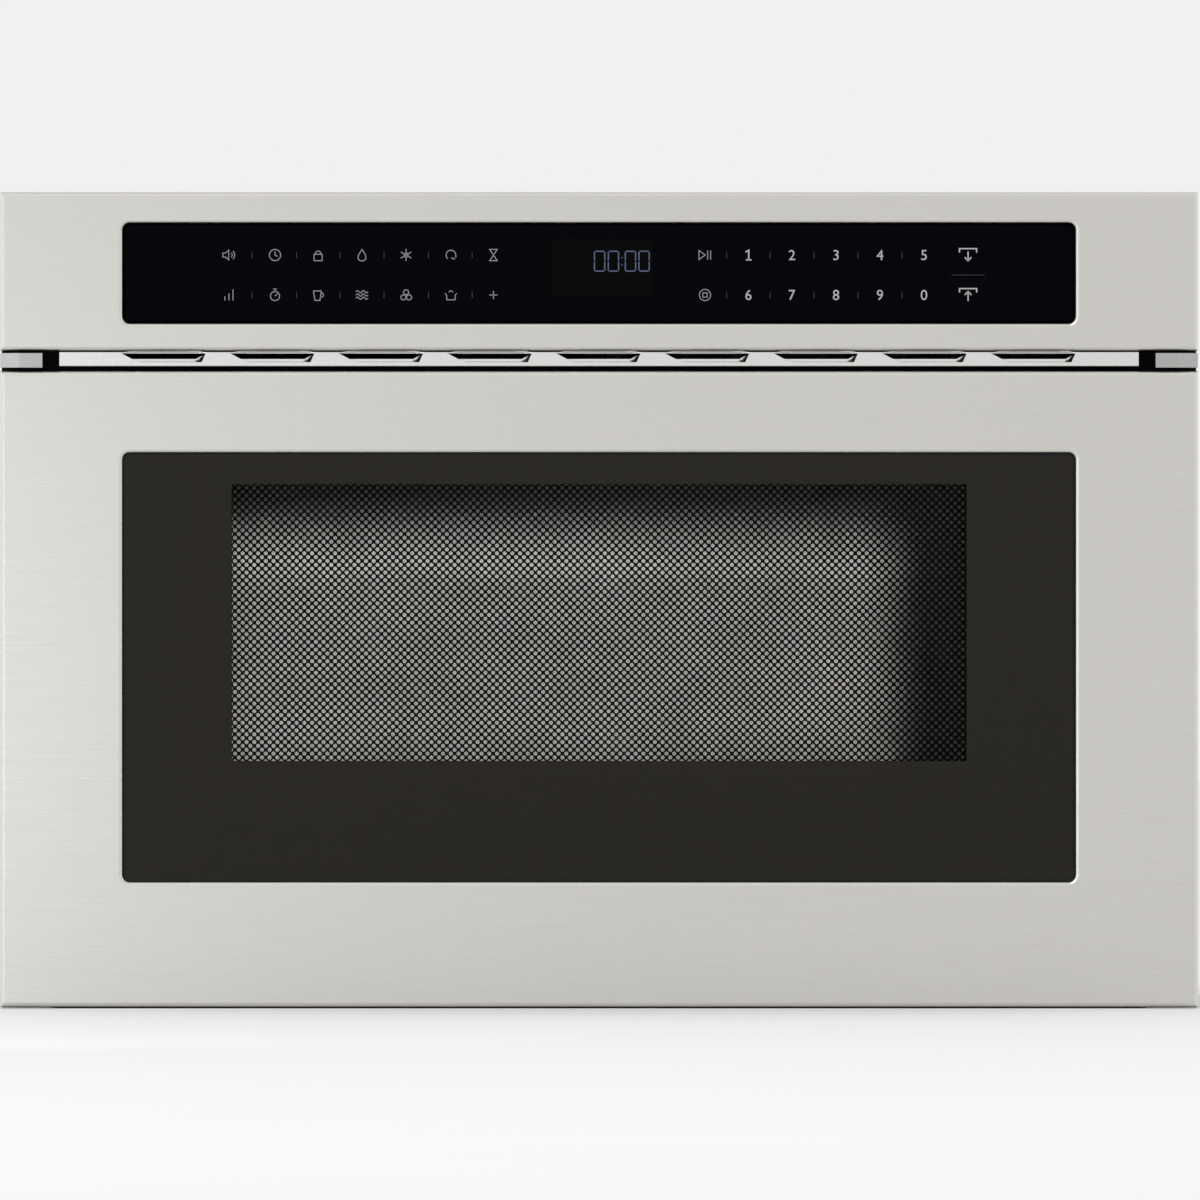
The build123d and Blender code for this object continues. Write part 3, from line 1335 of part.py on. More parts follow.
def drawer_carriage():
    """Two folded arms from the drawer front, joined by a brace behind."""
    low = slide_center_z - arm_height / 2
    high = slide_center_z + arm_height / 2
    outer = slide_inner_x
    inner = outer - arm_sheet
    arm = slab(inner, outer, web_back_y, carriage_rear_y, low, high)
    arm += slab(inner - arm_flange, outer, web_back_y, carriage_rear_y, high - arm_sheet, high)
    arm += slab(outer - arm_foot, outer, web_back_y, web_back_y + arm_sheet, low, high)
    brace = slab(-outer, outer, brace_front_y, carriage_rear_y, brace_bottom, brace_bottom + arm_sheet)
    lip_x = outer - brace_lip_inset
    lip_y = carriage_rear_y - arm_sheet
    brace += slab(-lip_x, lip_x, lip_y, carriage_rear_y, brace_bottom, brace_bottom + brace_lip)
    return brace + both_sides(arm) - foot_screw_holes()


def drawer_screws():
    """Screws through the carriage's feet into the drawer front."""
    y = web_back_y + arm_sheet
    return group([screw((x, y, z), (0, -1, 0), arm_sheet + choke_sheet) for x, z in foot_screw_places()])


def drawer_bumpers():
    """Rubber buffers at the corners of the drawer front."""
    length = frame_y - bumper_clearance - web_back_y
    x = half_front - bumper_inset
    buffers = []
    for z in bumper_heights:
        buffers += both_sides(rod((x, web_back_y, z), (0, 1, 0), length, bumper_radius))
    return group(buffers)


def interlock_strikers():
    """Fingers on the drawer front that reach the interlock switches."""
    half_w = striker_width / 2
    half_h = striker_height / 2
    foot_w = half_w + striker_foot_side
    foot_h = half_h + striker_foot_rise
    foot_y = web_back_y + striker_foot
    fingers = []
    for z in switch_heights:
        foot = slab(switch_x - foot_w, switch_x + foot_w, web_back_y, foot_y, z - foot_h, z + foot_h)
        finger = slab(switch_x - half_w, switch_x + half_w, web_back_y, striker_tip_y, z - half_h, z + half_h)
        fingers.append(foot + finger)
    return group(fingers)


# ---------------------------------------------------------------- rack and pinion
def rack_outline(y_front, y_rear):
    """Plan of the rack: straight flanks at the pressure angle, a gap centred on the pinion."""
    pitch = pi * gear_module
    slope = tan(radians(pressure_angle))
    tip_half = pitch / 4 - backlash / 4 - gear_module * slope
    root_half = pitch / 4 - backlash / 4 + dedendum * gear_module * slope
    first = int((y_front - pinion_y) / pitch) + 1
    last = int((y_rear - pinion_y) / pitch) - 1
    points = [(rack_back_x, y_front), (rack_root_x, y_front)]
    for number in range(first, last + 1):
        y = pinion_y + (number + 0.5) * pitch
        points += [(rack_root_x, y - root_half), (rack_tip_x, y - tip_half)]
        points += [(rack_tip_x, y + tip_half), (rack_root_x, y + root_half)]
    points += [(rack_root_x, y_rear), (rack_back_x, y_rear)]
    return make_face(Polyline(*points, close=True))


def drive_rack():
    """Toothed bar that pushes the drawer out, with the pad that carries the brace."""
    bar = Pos(0, 0, rack_bottom) * extrude(rack_outline(web_back_y, carriage_rear_y), amount=rack_width)
    pad_x = rack_root_x + rack_pad_inset
    return bar + slab(pad_x, rack_back_x, brace_front_y, carriage_rear_y, rack_top, brace_bottom)


def involute_point(base, radius, offset, side):
    """Point of one involute flank at a radius, turned by the tooth's half angle."""
    roll = acos(min(1.0, base / radius))
    angle = side * (offset - (tan(roll) - roll))
    return (radius * cos(angle), radius * sin(angle))


def pinion_tooth():
    """One tooth, centred on the X axis, from involute flanks at the pressure angle."""
    roll = radians(pressure_angle)
    base = pitch_radius * cos(roll)
    thickness = (pi * gear_module / 2 - backlash / 2) / pitch_radius
    offset = thickness / 2 + tan(roll) - roll
    tip = pitch_radius + gear_module
    radii = [base + (tip - base) * step / flank_steps for step in range(flank_steps + 1)]
    lower = [involute_point(base, radius, offset, -1) for radius in radii]
    upper = [involute_point(base, radius, offset, 1) for radius in reversed(radii)]
    inner = pinion_root - tooth_overlap
    start = (inner * cos(offset), -inner * sin(offset))
    end = (inner * cos(offset), inner * sin(offset))
    return make_face(Polyline(start, *lower, *upper, end, close=True))


def drive_pinion():
    """Spur pinion on the gearmotor's upright shaft. One tooth points at the rack's middle gap."""
    plan = Circle(pinion_root)
    for number in range(pinion_teeth):
        plan += Rot(0, 0, number * 360 / pinion_teeth) * pinion_tooth()
    gear = Pos(0, pinion_y, pinion_bottom) * extrude(plan, amount=pinion_width)
    hub_z = pinion_bottom - pinion_hub_height
    hub = rod((0, pinion_y, hub_z), (0, 0, 1), pinion_hub_height, pinion_hub_radius)
    low = gearbox_top - shaft_depth
    shaft = rod((0, pinion_y, low), (0, 0, 1), pinion_bottom - low, pinion_shaft_radius)
    return gear + hub + shaft


def drive_gearmotor():
    """Gearbox on four feet with its motor lying behind it."""
    half = gearbox_width / 2
    y0 = pinion_y - gearbox_ahead
    y1 = y0 + gearbox_length
    box = slab(-half, half, y0, y1, gearbox_bottom, gearbox_top)
    box = fillet(box.edges().filter_by(Axis.Z), gearbox_corner)
    inset = gearbox_foot_inset
    for x in (-half + inset, half - inset):
        for y in (y0 + inset, y1 - inset):
            box += rod((x, y, base_sheet), (0, 0, 1), gearbox_bottom - base_sheet, gearbox_foot_radius)
    middle = (gearbox_bottom + gearbox_top) / 2 + motor_lift
    box += rod((0, y1, middle), (0, 1, 0), motor_length, motor_radius)
    box += rod((0, y1 + motor_length, middle), (0, 1, 0), motor_boss, motor_boss_radius)
    depth = shaft_depth + shaft_end_play
    return box - drill((0, pinion_y, gearbox_top), (0, 0, -1), depth, pinion_shaft_radius + shaft_play)


# ---------------------------------------------------------------- interlocks
def switch_bracket():
    """Angle behind the front frame that carries the interlock switches."""
    x0 = switch_x + switch_width / 2
    low = switch_heights[0] - switch_plate_end
    high = switch_heights[-1] + switch_plate_end
    wall = slab(x0, x0 + switch_plate, cabinet_y, switch_y + switch_depth + switch_plate_rear, low, high)
    return wall + slab(x0, half_inner - switch_plate_gap, cabinet_y, cabinet_y + switch_plate, low, high)


def interlock_switches():
    """Snap-action switches whose plungers face the strikers."""
    bodies = []
    x0 = switch_x - switch_width / 2
    y1 = switch_y + switch_depth
    half_w = terminal_width / 2
    half_h = terminal_height / 2
    depth = plunger_hold + plunger_travel + plunger_end_play
    for z in switch_heights:
        body = slab(x0, x0 + switch_width, switch_y, y1, z - switch_length / 2, z + switch_length / 2)
        for lift in (-terminal_pitch, 0, terminal_pitch):
            body += slab(switch_x - half_w, switch_x + half_w, y1, y1 + terminal_length,
                         z + lift - half_h, z + lift + half_h)
        body -= drill((switch_x, switch_y, z), (0, 1, 0), depth, plunger_radius + plunger_play)
        bodies.append(body)
    return group(bodies)


def switch_plunger(z):
    """Sprung button of one interlock switch, drawn released."""
    return rod((switch_x, plunger_tip_y, z), (0, 1, 0), plunger_reach + plunger_hold, plunger_radius)


# ---------------------------------------------------------------- the appliance
def build():
    """Every piece by its node name."""
    return {
        "base_plate": base_plate(),
        "outer_wrapper": outer_wrapper(),
        "rear_panel": rear_panel(),
        "front_frame": front_frame(),
        "housing_screws": housing_screws(),
        "cord_gland": cord_gland(),
        "cavity_liner": cavity_liner(),
        "stirrer_cover": stirrer_cover(),
        "waveguide": waveguide(),
        "stirrer_motor": stirrer_motor(),
        "stirrer_blade": stirrer_blade(),
        "magnetron_yoke": magnetron(),
        "magnetron_fins": magnetron_fins(),
        "thermal_cutouts": thermal_cutouts(),
        "oven_lamp": oven_lamp(),
        "fan_housing": fan_housing(),
        "fan_motor": fan_motor(),
        "fan_impeller": fan_impeller(),
        "air_duct": air_duct(),
        "exhaust_duct": exhaust_duct(),
        "transformer_core": transformer_core(),
        "transformer_windings": transformer_windings(),
        "hv_capacitor": hv_capacitor(),
        "hv_diode": hv_diode(),
        "filter_board": filter_board(),
        "fascia_panel": fascia_panel(),
        "control_glass": glass_pane(control_glass_low, control_glass_high, glass_thickness),
        "touch_board": touch_board(),
        "display_module": display_module(),
        "control_carrier": control_carrier(),
        "control_board": control_board(),
        "vent_grille": vent_grille(),
        "end_trims": end_trims(),
        "drawer_front": drawer_front(),
        "drawer_glass": glass_pane(drawer_glass_low, drawer_glass_high, glass_thickness),
        "glass_carrier": glass_carrier(),
        "perforated_screen": perforated_screen(),
        "choke_frame": choke_frame(),
        "choke_cover": choke_cover(),
        "inner_glass": inner_glass(),
        "drawer_tub": drawer_tub(),
        "floor_tray": floor_tray(),
        "slide_outer_right": slide_outer(1),
        "slide_outer_left": slide_outer(-1),
        "slide_mid_right": slide_mid(1),
        "slide_mid_left": slide_mid(-1),
        "slide_inners": slide_inner(),
        "slide_brackets": slide_brackets(),
        "drawer_carriage": drawer_carriage(),
        "drawer_screws": drawer_screws(),
        "drawer_bumpers": drawer_bumpers(),
        "interlock_strikers": interlock_strikers(),
        "drive_rack": drive_rack(),
        "drive_pinion": drive_pinion(),
        "drive_gearmotor": drive_gearmotor(),
        "switch_bracket": switch_bracket(),
        "interlock_switches": interlock_switches(),
        "switch_plunger_lower": switch_plunger(switch_heights[0]),
        "switch_plunger_upper": switch_plunger(switch_heights[-1]),
    }


os.makedirs("parts", exist_ok=True)
for name, shape in build().items():
    export_step(shape, f"parts/{name}.step")
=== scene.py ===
"""Looks of a built-in microwave drawer: its finishes, printed marks and fine sheet work.

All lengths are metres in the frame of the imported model: +X right, +Y into the cabinet, +Z up.
"""

import logging
import math
from abc import ABC, abstractmethod
from dataclasses import dataclass, field
from enum import Enum

import bpy
import numpy as np
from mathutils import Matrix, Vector


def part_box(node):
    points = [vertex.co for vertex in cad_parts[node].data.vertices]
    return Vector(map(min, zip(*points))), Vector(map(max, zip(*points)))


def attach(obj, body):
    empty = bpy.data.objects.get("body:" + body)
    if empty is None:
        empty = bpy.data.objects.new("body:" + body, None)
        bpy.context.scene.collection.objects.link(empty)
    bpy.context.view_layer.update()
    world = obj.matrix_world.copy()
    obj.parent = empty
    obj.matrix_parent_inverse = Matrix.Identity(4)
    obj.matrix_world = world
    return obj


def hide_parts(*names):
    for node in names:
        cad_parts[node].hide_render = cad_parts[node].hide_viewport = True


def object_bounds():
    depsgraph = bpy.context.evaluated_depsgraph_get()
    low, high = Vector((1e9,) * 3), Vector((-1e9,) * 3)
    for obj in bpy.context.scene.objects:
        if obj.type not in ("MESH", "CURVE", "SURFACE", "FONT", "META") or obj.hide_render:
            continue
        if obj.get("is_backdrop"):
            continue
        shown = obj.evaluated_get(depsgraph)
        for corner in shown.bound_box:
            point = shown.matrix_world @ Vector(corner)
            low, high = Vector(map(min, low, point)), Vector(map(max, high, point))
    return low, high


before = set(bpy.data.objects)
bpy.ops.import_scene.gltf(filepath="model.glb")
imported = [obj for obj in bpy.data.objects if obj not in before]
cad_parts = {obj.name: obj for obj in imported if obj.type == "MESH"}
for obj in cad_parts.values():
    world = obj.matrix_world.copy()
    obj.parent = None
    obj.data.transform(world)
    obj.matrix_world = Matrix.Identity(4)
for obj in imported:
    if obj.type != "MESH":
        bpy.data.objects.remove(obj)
LOG = logging.getLogger("microwave_drawer")
Color = tuple[float, float, float]
Place = tuple[float, float, float]
Array = np.ndarray
Surface = tuple[Array, Array]  # points, one a row, and three point indices a triangle
Node = bpy.types.Node
Socket = bpy.types.NodeSocket
Sockets = bpy.types.bpy_prop_collection


# ---------------------------------------------------------------- meshes
def triangles_of_grid(rows: int, columns: int) -> Array:
    """Triangles of a grid whose points run row by row.

    Each cell (r, c) gives the triangles (a, b, d) and (a, d, e), with a = r * columns + c.

    Args:
        rows: points in the first direction.
        columns: points in the second direction.

    Returns:
        An array of three point indices a triangle.
    """
    row, column = np.meshgrid(np.arange(rows - 1), np.arange(columns - 1), indexing="ij")
    a = (row * columns + column).ravel()
    b, d, e = a + 1, a + columns + 1, a + columns
    return np.concatenate([np.stack([a, b, d], 1), np.stack([a, d, e], 1)])


def weld(points: Array, faces: Array, step: float = 1e-6) -> Surface:
    """Joins points that share a place, and drops triangles that collapse.

    Args:
        points: places, one a row.
        faces: three point indices a triangle.
        step: places closer than this are one.

    Returns:
        The joined points and the triangles on them.
    """
    keys = np.round(points / step).astype(np.int64)
    _, kept, back = np.unique(keys, axis=0, return_index=True, return_inverse=True)
    faces = back.reshape(-1)[faces]
    whole = (faces[:, 0] != faces[:, 1]) & (faces[:, 1] != faces[:, 2]) & (faces[:, 0] != faces[:, 2])
    return points[kept], faces[whole]


def thicken(points: Array, faces: Array, offset: Array) -> Surface:
    """Makes a closed sheet from an open surface.

    The back is the surface moved by the offset and turned round. Every directed edge (i, j) that has no
    partner (j, i) is on a rim, and gets a wall of two triangles between front and back.

    Args:
        points: welded places, one a row.
        faces: triangles that face outwards.
        offset: one vector, or one for each point, from the front to the back.

    Returns:
        Points and triangles of the closed sheet.
    """
    count = len(points)
    edges = np.concatenate([faces[:, [0, 1]], faces[:, [1, 2]], faces[:, [2, 0]]]).astype(np.int64)
    code = edges[:, 0] * count + edges[:, 1]
    twin = edges[:, 1] * count + edges[:, 0]
    rim = edges[~np.isin(code, twin)]
    i, j = rim[:, 0], rim[:, 1]
    walls = np.concatenate([np.stack([j, i, i + count], 1), np.stack([j, i + count, j + count], 1)])
    return np.concatenate([points, points + offset]), np.concatenate([faces, faces[:, ::-1] + count, walls])


def join(parts: list[Surface]) -> Surface:
    """Several surfaces as one.

    Args:
        parts: points and triangles of each.

    Returns:
        All the points, and the triangles on them.
    """
    starts = np.cumsum([0] + [len(points) for points, _ in parts[:-1]])
    return (np.concatenate([points for points, _ in parts]),
            np.concatenate([faces + start for (_, faces), start in zip(parts, starts)]))


def sheet_normals(points: Array, faces: Array) -> Array:
    """Unit normal at each point: the sum of the cross products of the triangles that meet there.

    Args:
        points: places, one a row.
        faces: three point indices a triangle.

    Returns:
        One normal a row.
    """
    a, b, c = (points[faces[:, k]] for k in range(3))
    cross = np.cross(b - a, c - a)
    total = np.zeros_like(points)
    for k in range(3):
        np.add.at(total, faces[:, k], cross)
    return total / np.maximum(np.linalg.norm(total, axis=1, keepdims=True), 1e-12)


def turned_alike(flat: Array, faces: Array, least: float = 0.0) -> Array:
    """Triangles of a flat shape, all turned the same way round.

    Args:
        flat: places (x, z), one a row.
        faces: triangles on them, turned either way.
        least: twice the smallest area that is kept.

    Returns:
        The triangles, which look along -Y.
    """
    a, b, c = (flat[faces[:, k]] for k in range(3))
    area = (b[:, 0] - a[:, 0]) * (c[:, 1] - a[:, 1]) - (b[:, 1] - a[:, 1]) * (c[:, 0] - a[:, 0])
    return np.where((area > 0)[:, None], faces, faces[:, ::-1])[np.abs(area) >= least]


def add_piece(name: str, points: Array, faces: Array, finish: "Finish", body: str) -> bpy.types.Object:
    """Puts points and triangles into a new object that rides on a body.

    Args:
        name: name of the piece.
        points: places in metres, one a row.
        faces: three point indices a triangle.
        finish: what its surface is made of.
        body: name of the CAD body that carries it.

    Returns:
        The new object.
    """
    mesh = bpy.data.meshes.new(name)
    mesh.vertices.add(len(points))
    mesh.vertices.foreach_set("co", np.asarray(points, np.float32).ravel())
    mesh.loops.add(len(faces) * 3)
    mesh.loops.foreach_set("vertex_index", np.asarray(faces, np.int32).ravel())
    mesh.polygons.add(len(faces))
    mesh.polygons.foreach_set("loop_start", np.arange(len(faces), dtype=np.int32) * 3)
    mesh.polygons.foreach_set("use_smooth", np.zeros(len(faces), bool))
    mesh.update(calc_edges=True)
    mesh.validate()
    mesh.materials.append(finish.material())
    piece = bpy.data.objects.new(name, mesh)
    bpy.context.scene.collection.objects.link(piece)
    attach(piece, body)
    LOG.info("%s: %d triangles on %s", name, len(faces), body)
    return piece


# ---------------------------------------------------------------- shader graphs
class Graph:
    """Short calls that build a node tree."""

    def __init__(self, tree: bpy.types.NodeTree) -> None:
        """Starts on a tree."""
        self.tree = tree

    def add(self, kind: str, inputs: dict | None = None, **settings: object) -> Node:
        """Adds a node.

        Args:
            kind: type of the node, without its first word.
            inputs: socket name or number to a value, or to the socket that feeds it.
            settings: properties of the node.

        Returns:
            The node.
        """
        node = self.tree.nodes.new("ShaderNode" + kind)
        for key, value in settings.items():
            setattr(node, key, value)
        for key, value in (inputs or {}).items():
            if isinstance(value, Socket):
                self.tree.links.new(value, node.inputs[key])
            else:
                node.inputs[key].default_value = value
        return node

    def math(self, operation: str, *values: object) -> Socket:
        """One sum, product or test of numbers or sockets."""
        return self.add("Math", dict(enumerate(values)), operation=operation).outputs[0]

    def times(self, first: object, second: object) -> Socket:
        """Product of two numbers or sockets."""
        return self.math("MULTIPLY", first, second)

    def axes(self, vector: Socket) -> Sockets:
        """The three parts of a vector."""
        return self.add("SeparateXYZ", {0: vector}).outputs

    def spread(self, value: object, low: float, high: float, to_low: float = 0.0,
               to_high: float = 1.0) -> Socket:
        """Maps low...high to to_low...to_high, held at its ends."""
        return self.add("MapRange", {0: value, 1: low, 2: high, 3: to_low, 4: to_high}).outputs[0]

    def mix(self, mask: object, first: object, second: object) -> Socket:
        """Colour between two colours by a mask."""
        low, high = ((*tone, 1.0) if isinstance(tone, tuple) else tone for tone in (first, second))
        return self.add("Mix", {0: mask, 6: low, 7: high}, data_type="RGBA").outputs[2]

    def blend(self, first: object, second: object, share: float) -> Socket:
        """The first value, with a share of it given over to the second."""
        return self.math("MULTIPLY_ADD", first, 1.0 - share, self.times(second, share))

    def scaled(self, vector: Socket, scale: tuple[float, float, float]) -> Socket:
        """A vector with each part multiplied."""
        return self.add("VectorMath", {0: vector, 1: scale}, operation="MULTIPLY").outputs[0]

    def noise(self, vector: Socket, scale: object, detail: float = 2.0) -> Socket:
        """Value of a soft noise at a place."""
        return self.add("TexNoise", {"Vector": vector, "Scale": scale, "Detail": detail}).outputs[0]


class Pattern(Enum):
    """The shared surface patterns, each made once as a node group."""

    BRUSHED = "brushed_grain"
    SPANGLE = "zinc_spangle"
    MOTTLE = "soft_mottle"
    STIPPLE = "moulded_stipple"
    LAYERS = "stacked_layers"
    DUST = "settled_dust"
    WINDOW = "front_window"


class PatternBook:
    """Builds the shared node groups and places them in materials."""

    _SOCKETS = {
        Pattern.BRUSHED: (["Vector", "Normal"], {"Along": 26.0, "Across": 1700.0}, ["Streak", "PaintedBand"]),
        Pattern.SPANGLE: (["Vector"], {"Scale": 90.0}, ["Facet", "Seam"]),
        Pattern.MOTTLE: (["Vector"], {"Scale": 14.0}, ["Value"]),
        Pattern.STIPPLE: (["Vector"], {"Scale": 1400.0}, ["Height", "Speck"]),
        Pattern.LAYERS: ([], {"Position": 0.0, "Pitch": 0.001}, ["Groove", "Tone"]),
        Pattern.DUST: (["Vector", "Normal"], {"Scale": 30.0}, ["Mask"]),
        Pattern.WINDOW: (["Vector"], {"Left": -1.0, "Right": 1.0, "Bottom": -1.0, "Top": 1.0}, ["Mask"]),
    }

    @classmethod
    def place(cls, graph: Graph, pattern: Pattern, **inputs: object) -> Sockets:
        """Places a pattern in a material.

        Args:
            graph: graph of the material.
            pattern: which pattern.
            inputs: its inputs, values or sockets.

        Returns:
            What it puts out.
        """
        tree = bpy.data.node_groups.get(pattern.value) or cls._make(pattern)
        return graph.add("Group", inputs, node_tree=tree).outputs

    @classmethod
    def _make(cls, pattern: Pattern) -> bpy.types.NodeTree:
        """Makes the group of one pattern with its named sockets.

        Args:
            pattern: which pattern.

        Returns:
            The node tree of the group.
        """
        vectors, numbers, results = cls._SOCKETS[pattern]
        tree = bpy.data.node_groups.new(pattern.value, "ShaderNodeTree")
        for name in vectors:
            tree.interface.new_socket(name, in_out="INPUT", socket_type="NodeSocketVector")
        for name, value in numbers.items():
            socket = tree.interface.new_socket(name, in_out="INPUT", socket_type="NodeSocketFloat")
            socket.default_value = value
        for name in results:
            tree.interface.new_socket(name, in_out="OUTPUT", socket_type="NodeSocketFloat")
        graph = Graph(tree)
        source = tree.nodes.new("NodeGroupInput")
        target = tree.nodes.new("NodeGroupOutput")
        made = getattr(cls, "_" + pattern.name.lower())(graph, source.outputs)
        for name, value in zip(results, made):
            tree.links.new(value, target.inputs[name])
        return tree

    @staticmethod
    def _brushed(graph: Graph, given: Sockets) -> list[Socket]:
        """Streaks along X, or along Y on faces that look sideways, and soft upright bands a hand wide that
        are partly random tone and partly painted reflection.

        Args:
            graph: graph of the group.
            given: inputs of the group.

        Returns:
            Streak and painted band.
        """
        place = graph.axes(given["Vector"])
        normal = graph.axes(given["Normal"])
        side = graph.math("GREATER_THAN", graph.math("ABSOLUTE", normal[0]), 0.75)
        swap = graph.math("SUBTRACT", place[1], place[0])
        along = graph.math("MULTIPLY_ADD", side, swap, place[0])
        cross = graph.math("SUBTRACT", place[1], graph.times(side, swap))
        lines = []
        for share in (1.0, 0.4):
            width = graph.times(given["Across"], share)
            parts = [graph.times(along, graph.times(given["Along"], share)),
                     graph.times(cross, width), graph.times(place[2], width)]
            lines.append(graph.noise(graph.add("CombineXYZ", dict(enumerate(parts))).outputs[0], 1.0, 3.0))
        mean = graph.blend(lines[0], lines[1], 0.3)
        # Soft upright bands, stretched along Z: partly random tone, partly painted reflection bands.
        painted_band = graph.noise(graph.scaled(given["Vector"], (1.0, 1.0, 0.25)), 5.0, 1.0)
        return [graph.spread(mean, 0.36, 0.64), graph.spread(painted_band, 0.3, 0.7)]

    @staticmethod
    def _spangle(graph: Graph, given: Sockets) -> list[Socket]:
        """Crystals of a zinc coat: the tone of the nearest cell, and the seams between cells.

        Args:
            graph: graph of the group.
            given: inputs of the group.

        Returns:
            Facet and seam.
        """
        drift = graph.add("TexNoise", {"Vector": given["Vector"], "Scale": 60.0}).outputs[1]
        place = graph.add("VectorMath", {0: drift, 1: (0.008,) * 3, 2: given["Vector"]},
                          operation="MULTIPLY_ADD").outputs[0]
        cell = graph.add("TexVoronoi", {"Vector": place, "Scale": given["Scale"]})
        seam = graph.add("TexVoronoi", {"Vector": place, "Scale": given["Scale"]},
                         feature="DISTANCE_TO_EDGE")
        tone = graph.add("SeparateColor", {0: cell.outputs["Color"]}).outputs[0]
        return [tone, graph.spread(seam.outputs["Distance"], 0.0, 0.06, 1.0, 0.0)]

    @staticmethod
    def _mottle(graph: Graph, given: Sockets) -> list[Socket]:
        """Soft patches: noise about one half, stretched twice.

        Args:
            graph: graph of the group.
            given: inputs of the group.

        Returns:
            The value alone.
        """
        centred = graph.math("SUBTRACT", graph.noise(given["Vector"], given["Scale"], 4.0), 0.5)
        return [graph.spread(graph.math("MULTIPLY_ADD", centred, 2.0, 0.5), 0.0, 1.0)]

    @staticmethod
    def _stipple(graph: Graph, given: Sockets) -> list[Socket]:
        """Fine grain of a mould or a sprayed coat, and rare specks.

        Args:
            graph: graph of the group.
            given: inputs of the group.

        Returns:
            Height and speck.
        """
        grain = graph.noise(given["Vector"], given["Scale"], 2.0)
        coarse = graph.times(given["Scale"], 0.3)
        cell = graph.add("TexVoronoi", {"Vector": given["Vector"], "Scale": coarse}).outputs["Distance"]
        return [graph.spread(grain, 0.25, 0.75), graph.spread(cell, 0.08, 0.16, 1.0, 0.0)]

    @staticmethod
    def _layers(graph: Graph, given: Sockets) -> list[Socket]:
        """Stacked sheets or turns: a darkened groove at every whole pitch, partly painted shade, and a tone
        for each layer.

        Args:
            graph: graph of the group.
            given: inputs of the group.

        Returns:
            Groove and tone.
        """
        count = graph.math("DIVIDE", given["Position"], given["Pitch"])
        wave = graph.math("PINGPONG", count, 0.5)
        whole = graph.math("FLOOR", count)
        tone = graph.add("TexWhiteNoise", {"W": whole}, noise_dimensions="1D").outputs[0]
        return [graph.spread(wave, 0.0, 0.16, 1.0, 0.0), tone]

    @staticmethod
    def _dust(graph: Graph, given: Sockets) -> list[Socket]:
        """Dust: patches on the faces that look upwards.

        Args:
            graph: graph of the group.
            given: inputs of the group.

        Returns:
            The mask alone.
        """
        upward = graph.spread(graph.axes(given["Normal"])[2], 0.5, 0.95)
        patch = graph.spread(graph.noise(given["Vector"], given["Scale"], 5.0), 0.35, 0.75)
        return [graph.times(upward, patch)]

    @staticmethod
    def _window(graph: Graph, given: Sockets) -> list[Socket]:
        """One inside a rectangle of the front, zero outside it.

        Args:
            graph: graph of the group.
            given: inputs of the group.

        Returns:
            The mask alone.
        """
        place = graph.axes(given["Vector"])
        tests = [graph.math("GREATER_THAN", place[0], given["Left"]),
                 graph.math("LESS_THAN", place[0], given["Right"]),
                 graph.math("GREATER_THAN", place[2], given["Bottom"]),
                 graph.math("LESS_THAN", place[2], given["Top"])]
        inside = graph.times(tests[0], tests[1])
        return [graph.times(inside, graph.times(tests[2], tests[3]))]


# ---------------------------------------------------------------- finishes
@dataclass(frozen=True)
class Ground:
    """What a finish is drawn on.

    Args:
        graph: graph of the material.
        shader: its shader.
        place: place on the piece.
        normal: direction in which the surface looks.
    """

    graph: Graph
    shader: Node
    place: Socket
    normal: Socket

    @classmethod
    def of(cls, material: bpy.types.Material) -> "Ground":
        """Starts the node tree of a material.

        Args:
            material: a new material.

        Returns:
            Its graph, shader, place and normal.
        """
        material.use_nodes = True
        graph = Graph(material.node_tree)
        where = graph.add("TexCoord").outputs
        return cls(graph, material.node_tree.nodes["Principled BSDF"], where["Object"], where["Normal"])

    def pattern(self, pattern: Pattern, **inputs: object) -> Sockets:
        """What a shared pattern puts out at this place."""
        return PatternBook.place(self.graph, pattern, Vector=self.place, **inputs)

    def link(self, name: str, value: Socket) -> None:
        """Feeds an input of the shader."""
        self.graph.tree.links.new(value, self.shader.inputs[name])

    def fix(self, name: str, value: float) -> None:
        """Sets an input of the shader that is the same all over."""
        self.shader.inputs[name].default_value = value


@dataclass(frozen=True)
class Finish(ABC):
    """What a surface is made of. Each subclass draws the pattern of a real finish.

    Args:
        name: name of the material.
        slot: name of a material slot; not used.
        color: main colour.
        tint: second colour that the pattern mixes in.
        gloss: roughness at the smooth and at the rough parts.
        metallic: one for bare metal.
        specular: strength of the plain reflection.
        relief: height of the pattern in metres.
    """

    name: str
    slot: str
    color: Color
    tint: Color
    gloss: tuple[float, float]
    metallic: float = 0.0
    specular: float = 0.5
    relief: float = 0.0

    def material(self) -> bpy.types.Material:
        """The material of this finish, made once.

        Returns:
            The material.
        """
        made = bpy.data.materials.get(self.name)
        if made is None:
            made = bpy.data.materials.new(self.name)
            ground = Ground.of(made)
            ground.fix("Metallic", self.metallic)
            ground.fix("Specular IOR Level", self.specular)
            self.detail(ground)
        return made

    def feed(self, ground: Ground, mask: object, rough: object, height: object | None = None) -> None:
        """Feeds the shader from masks.

        Args:
            ground: what the finish is drawn on.
            mask: how much of the tint shows.
            rough: zero where the surface is smoothest, one where it is roughest.
            height: relief from zero to one, or nothing for a flat surface.
        """
        graph = ground.graph
        ground.link("Base Color", graph.mix(mask, self.color, self.tint))
        ground.link("Roughness", graph.spread(rough, 0.0, 1.0, *self.gloss))
        if height is not None and self.relief:
            bump = graph.add("Bump", {"Strength": 0.6, "Distance": self.relief, "Height": height})
            ground.link("Normal", bump.outputs[0])

    @abstractmethod
    def detail(self, ground: Ground) -> None:
        """Draws the pattern of the finish.

        Args:
            ground: what it is drawn on.
        """


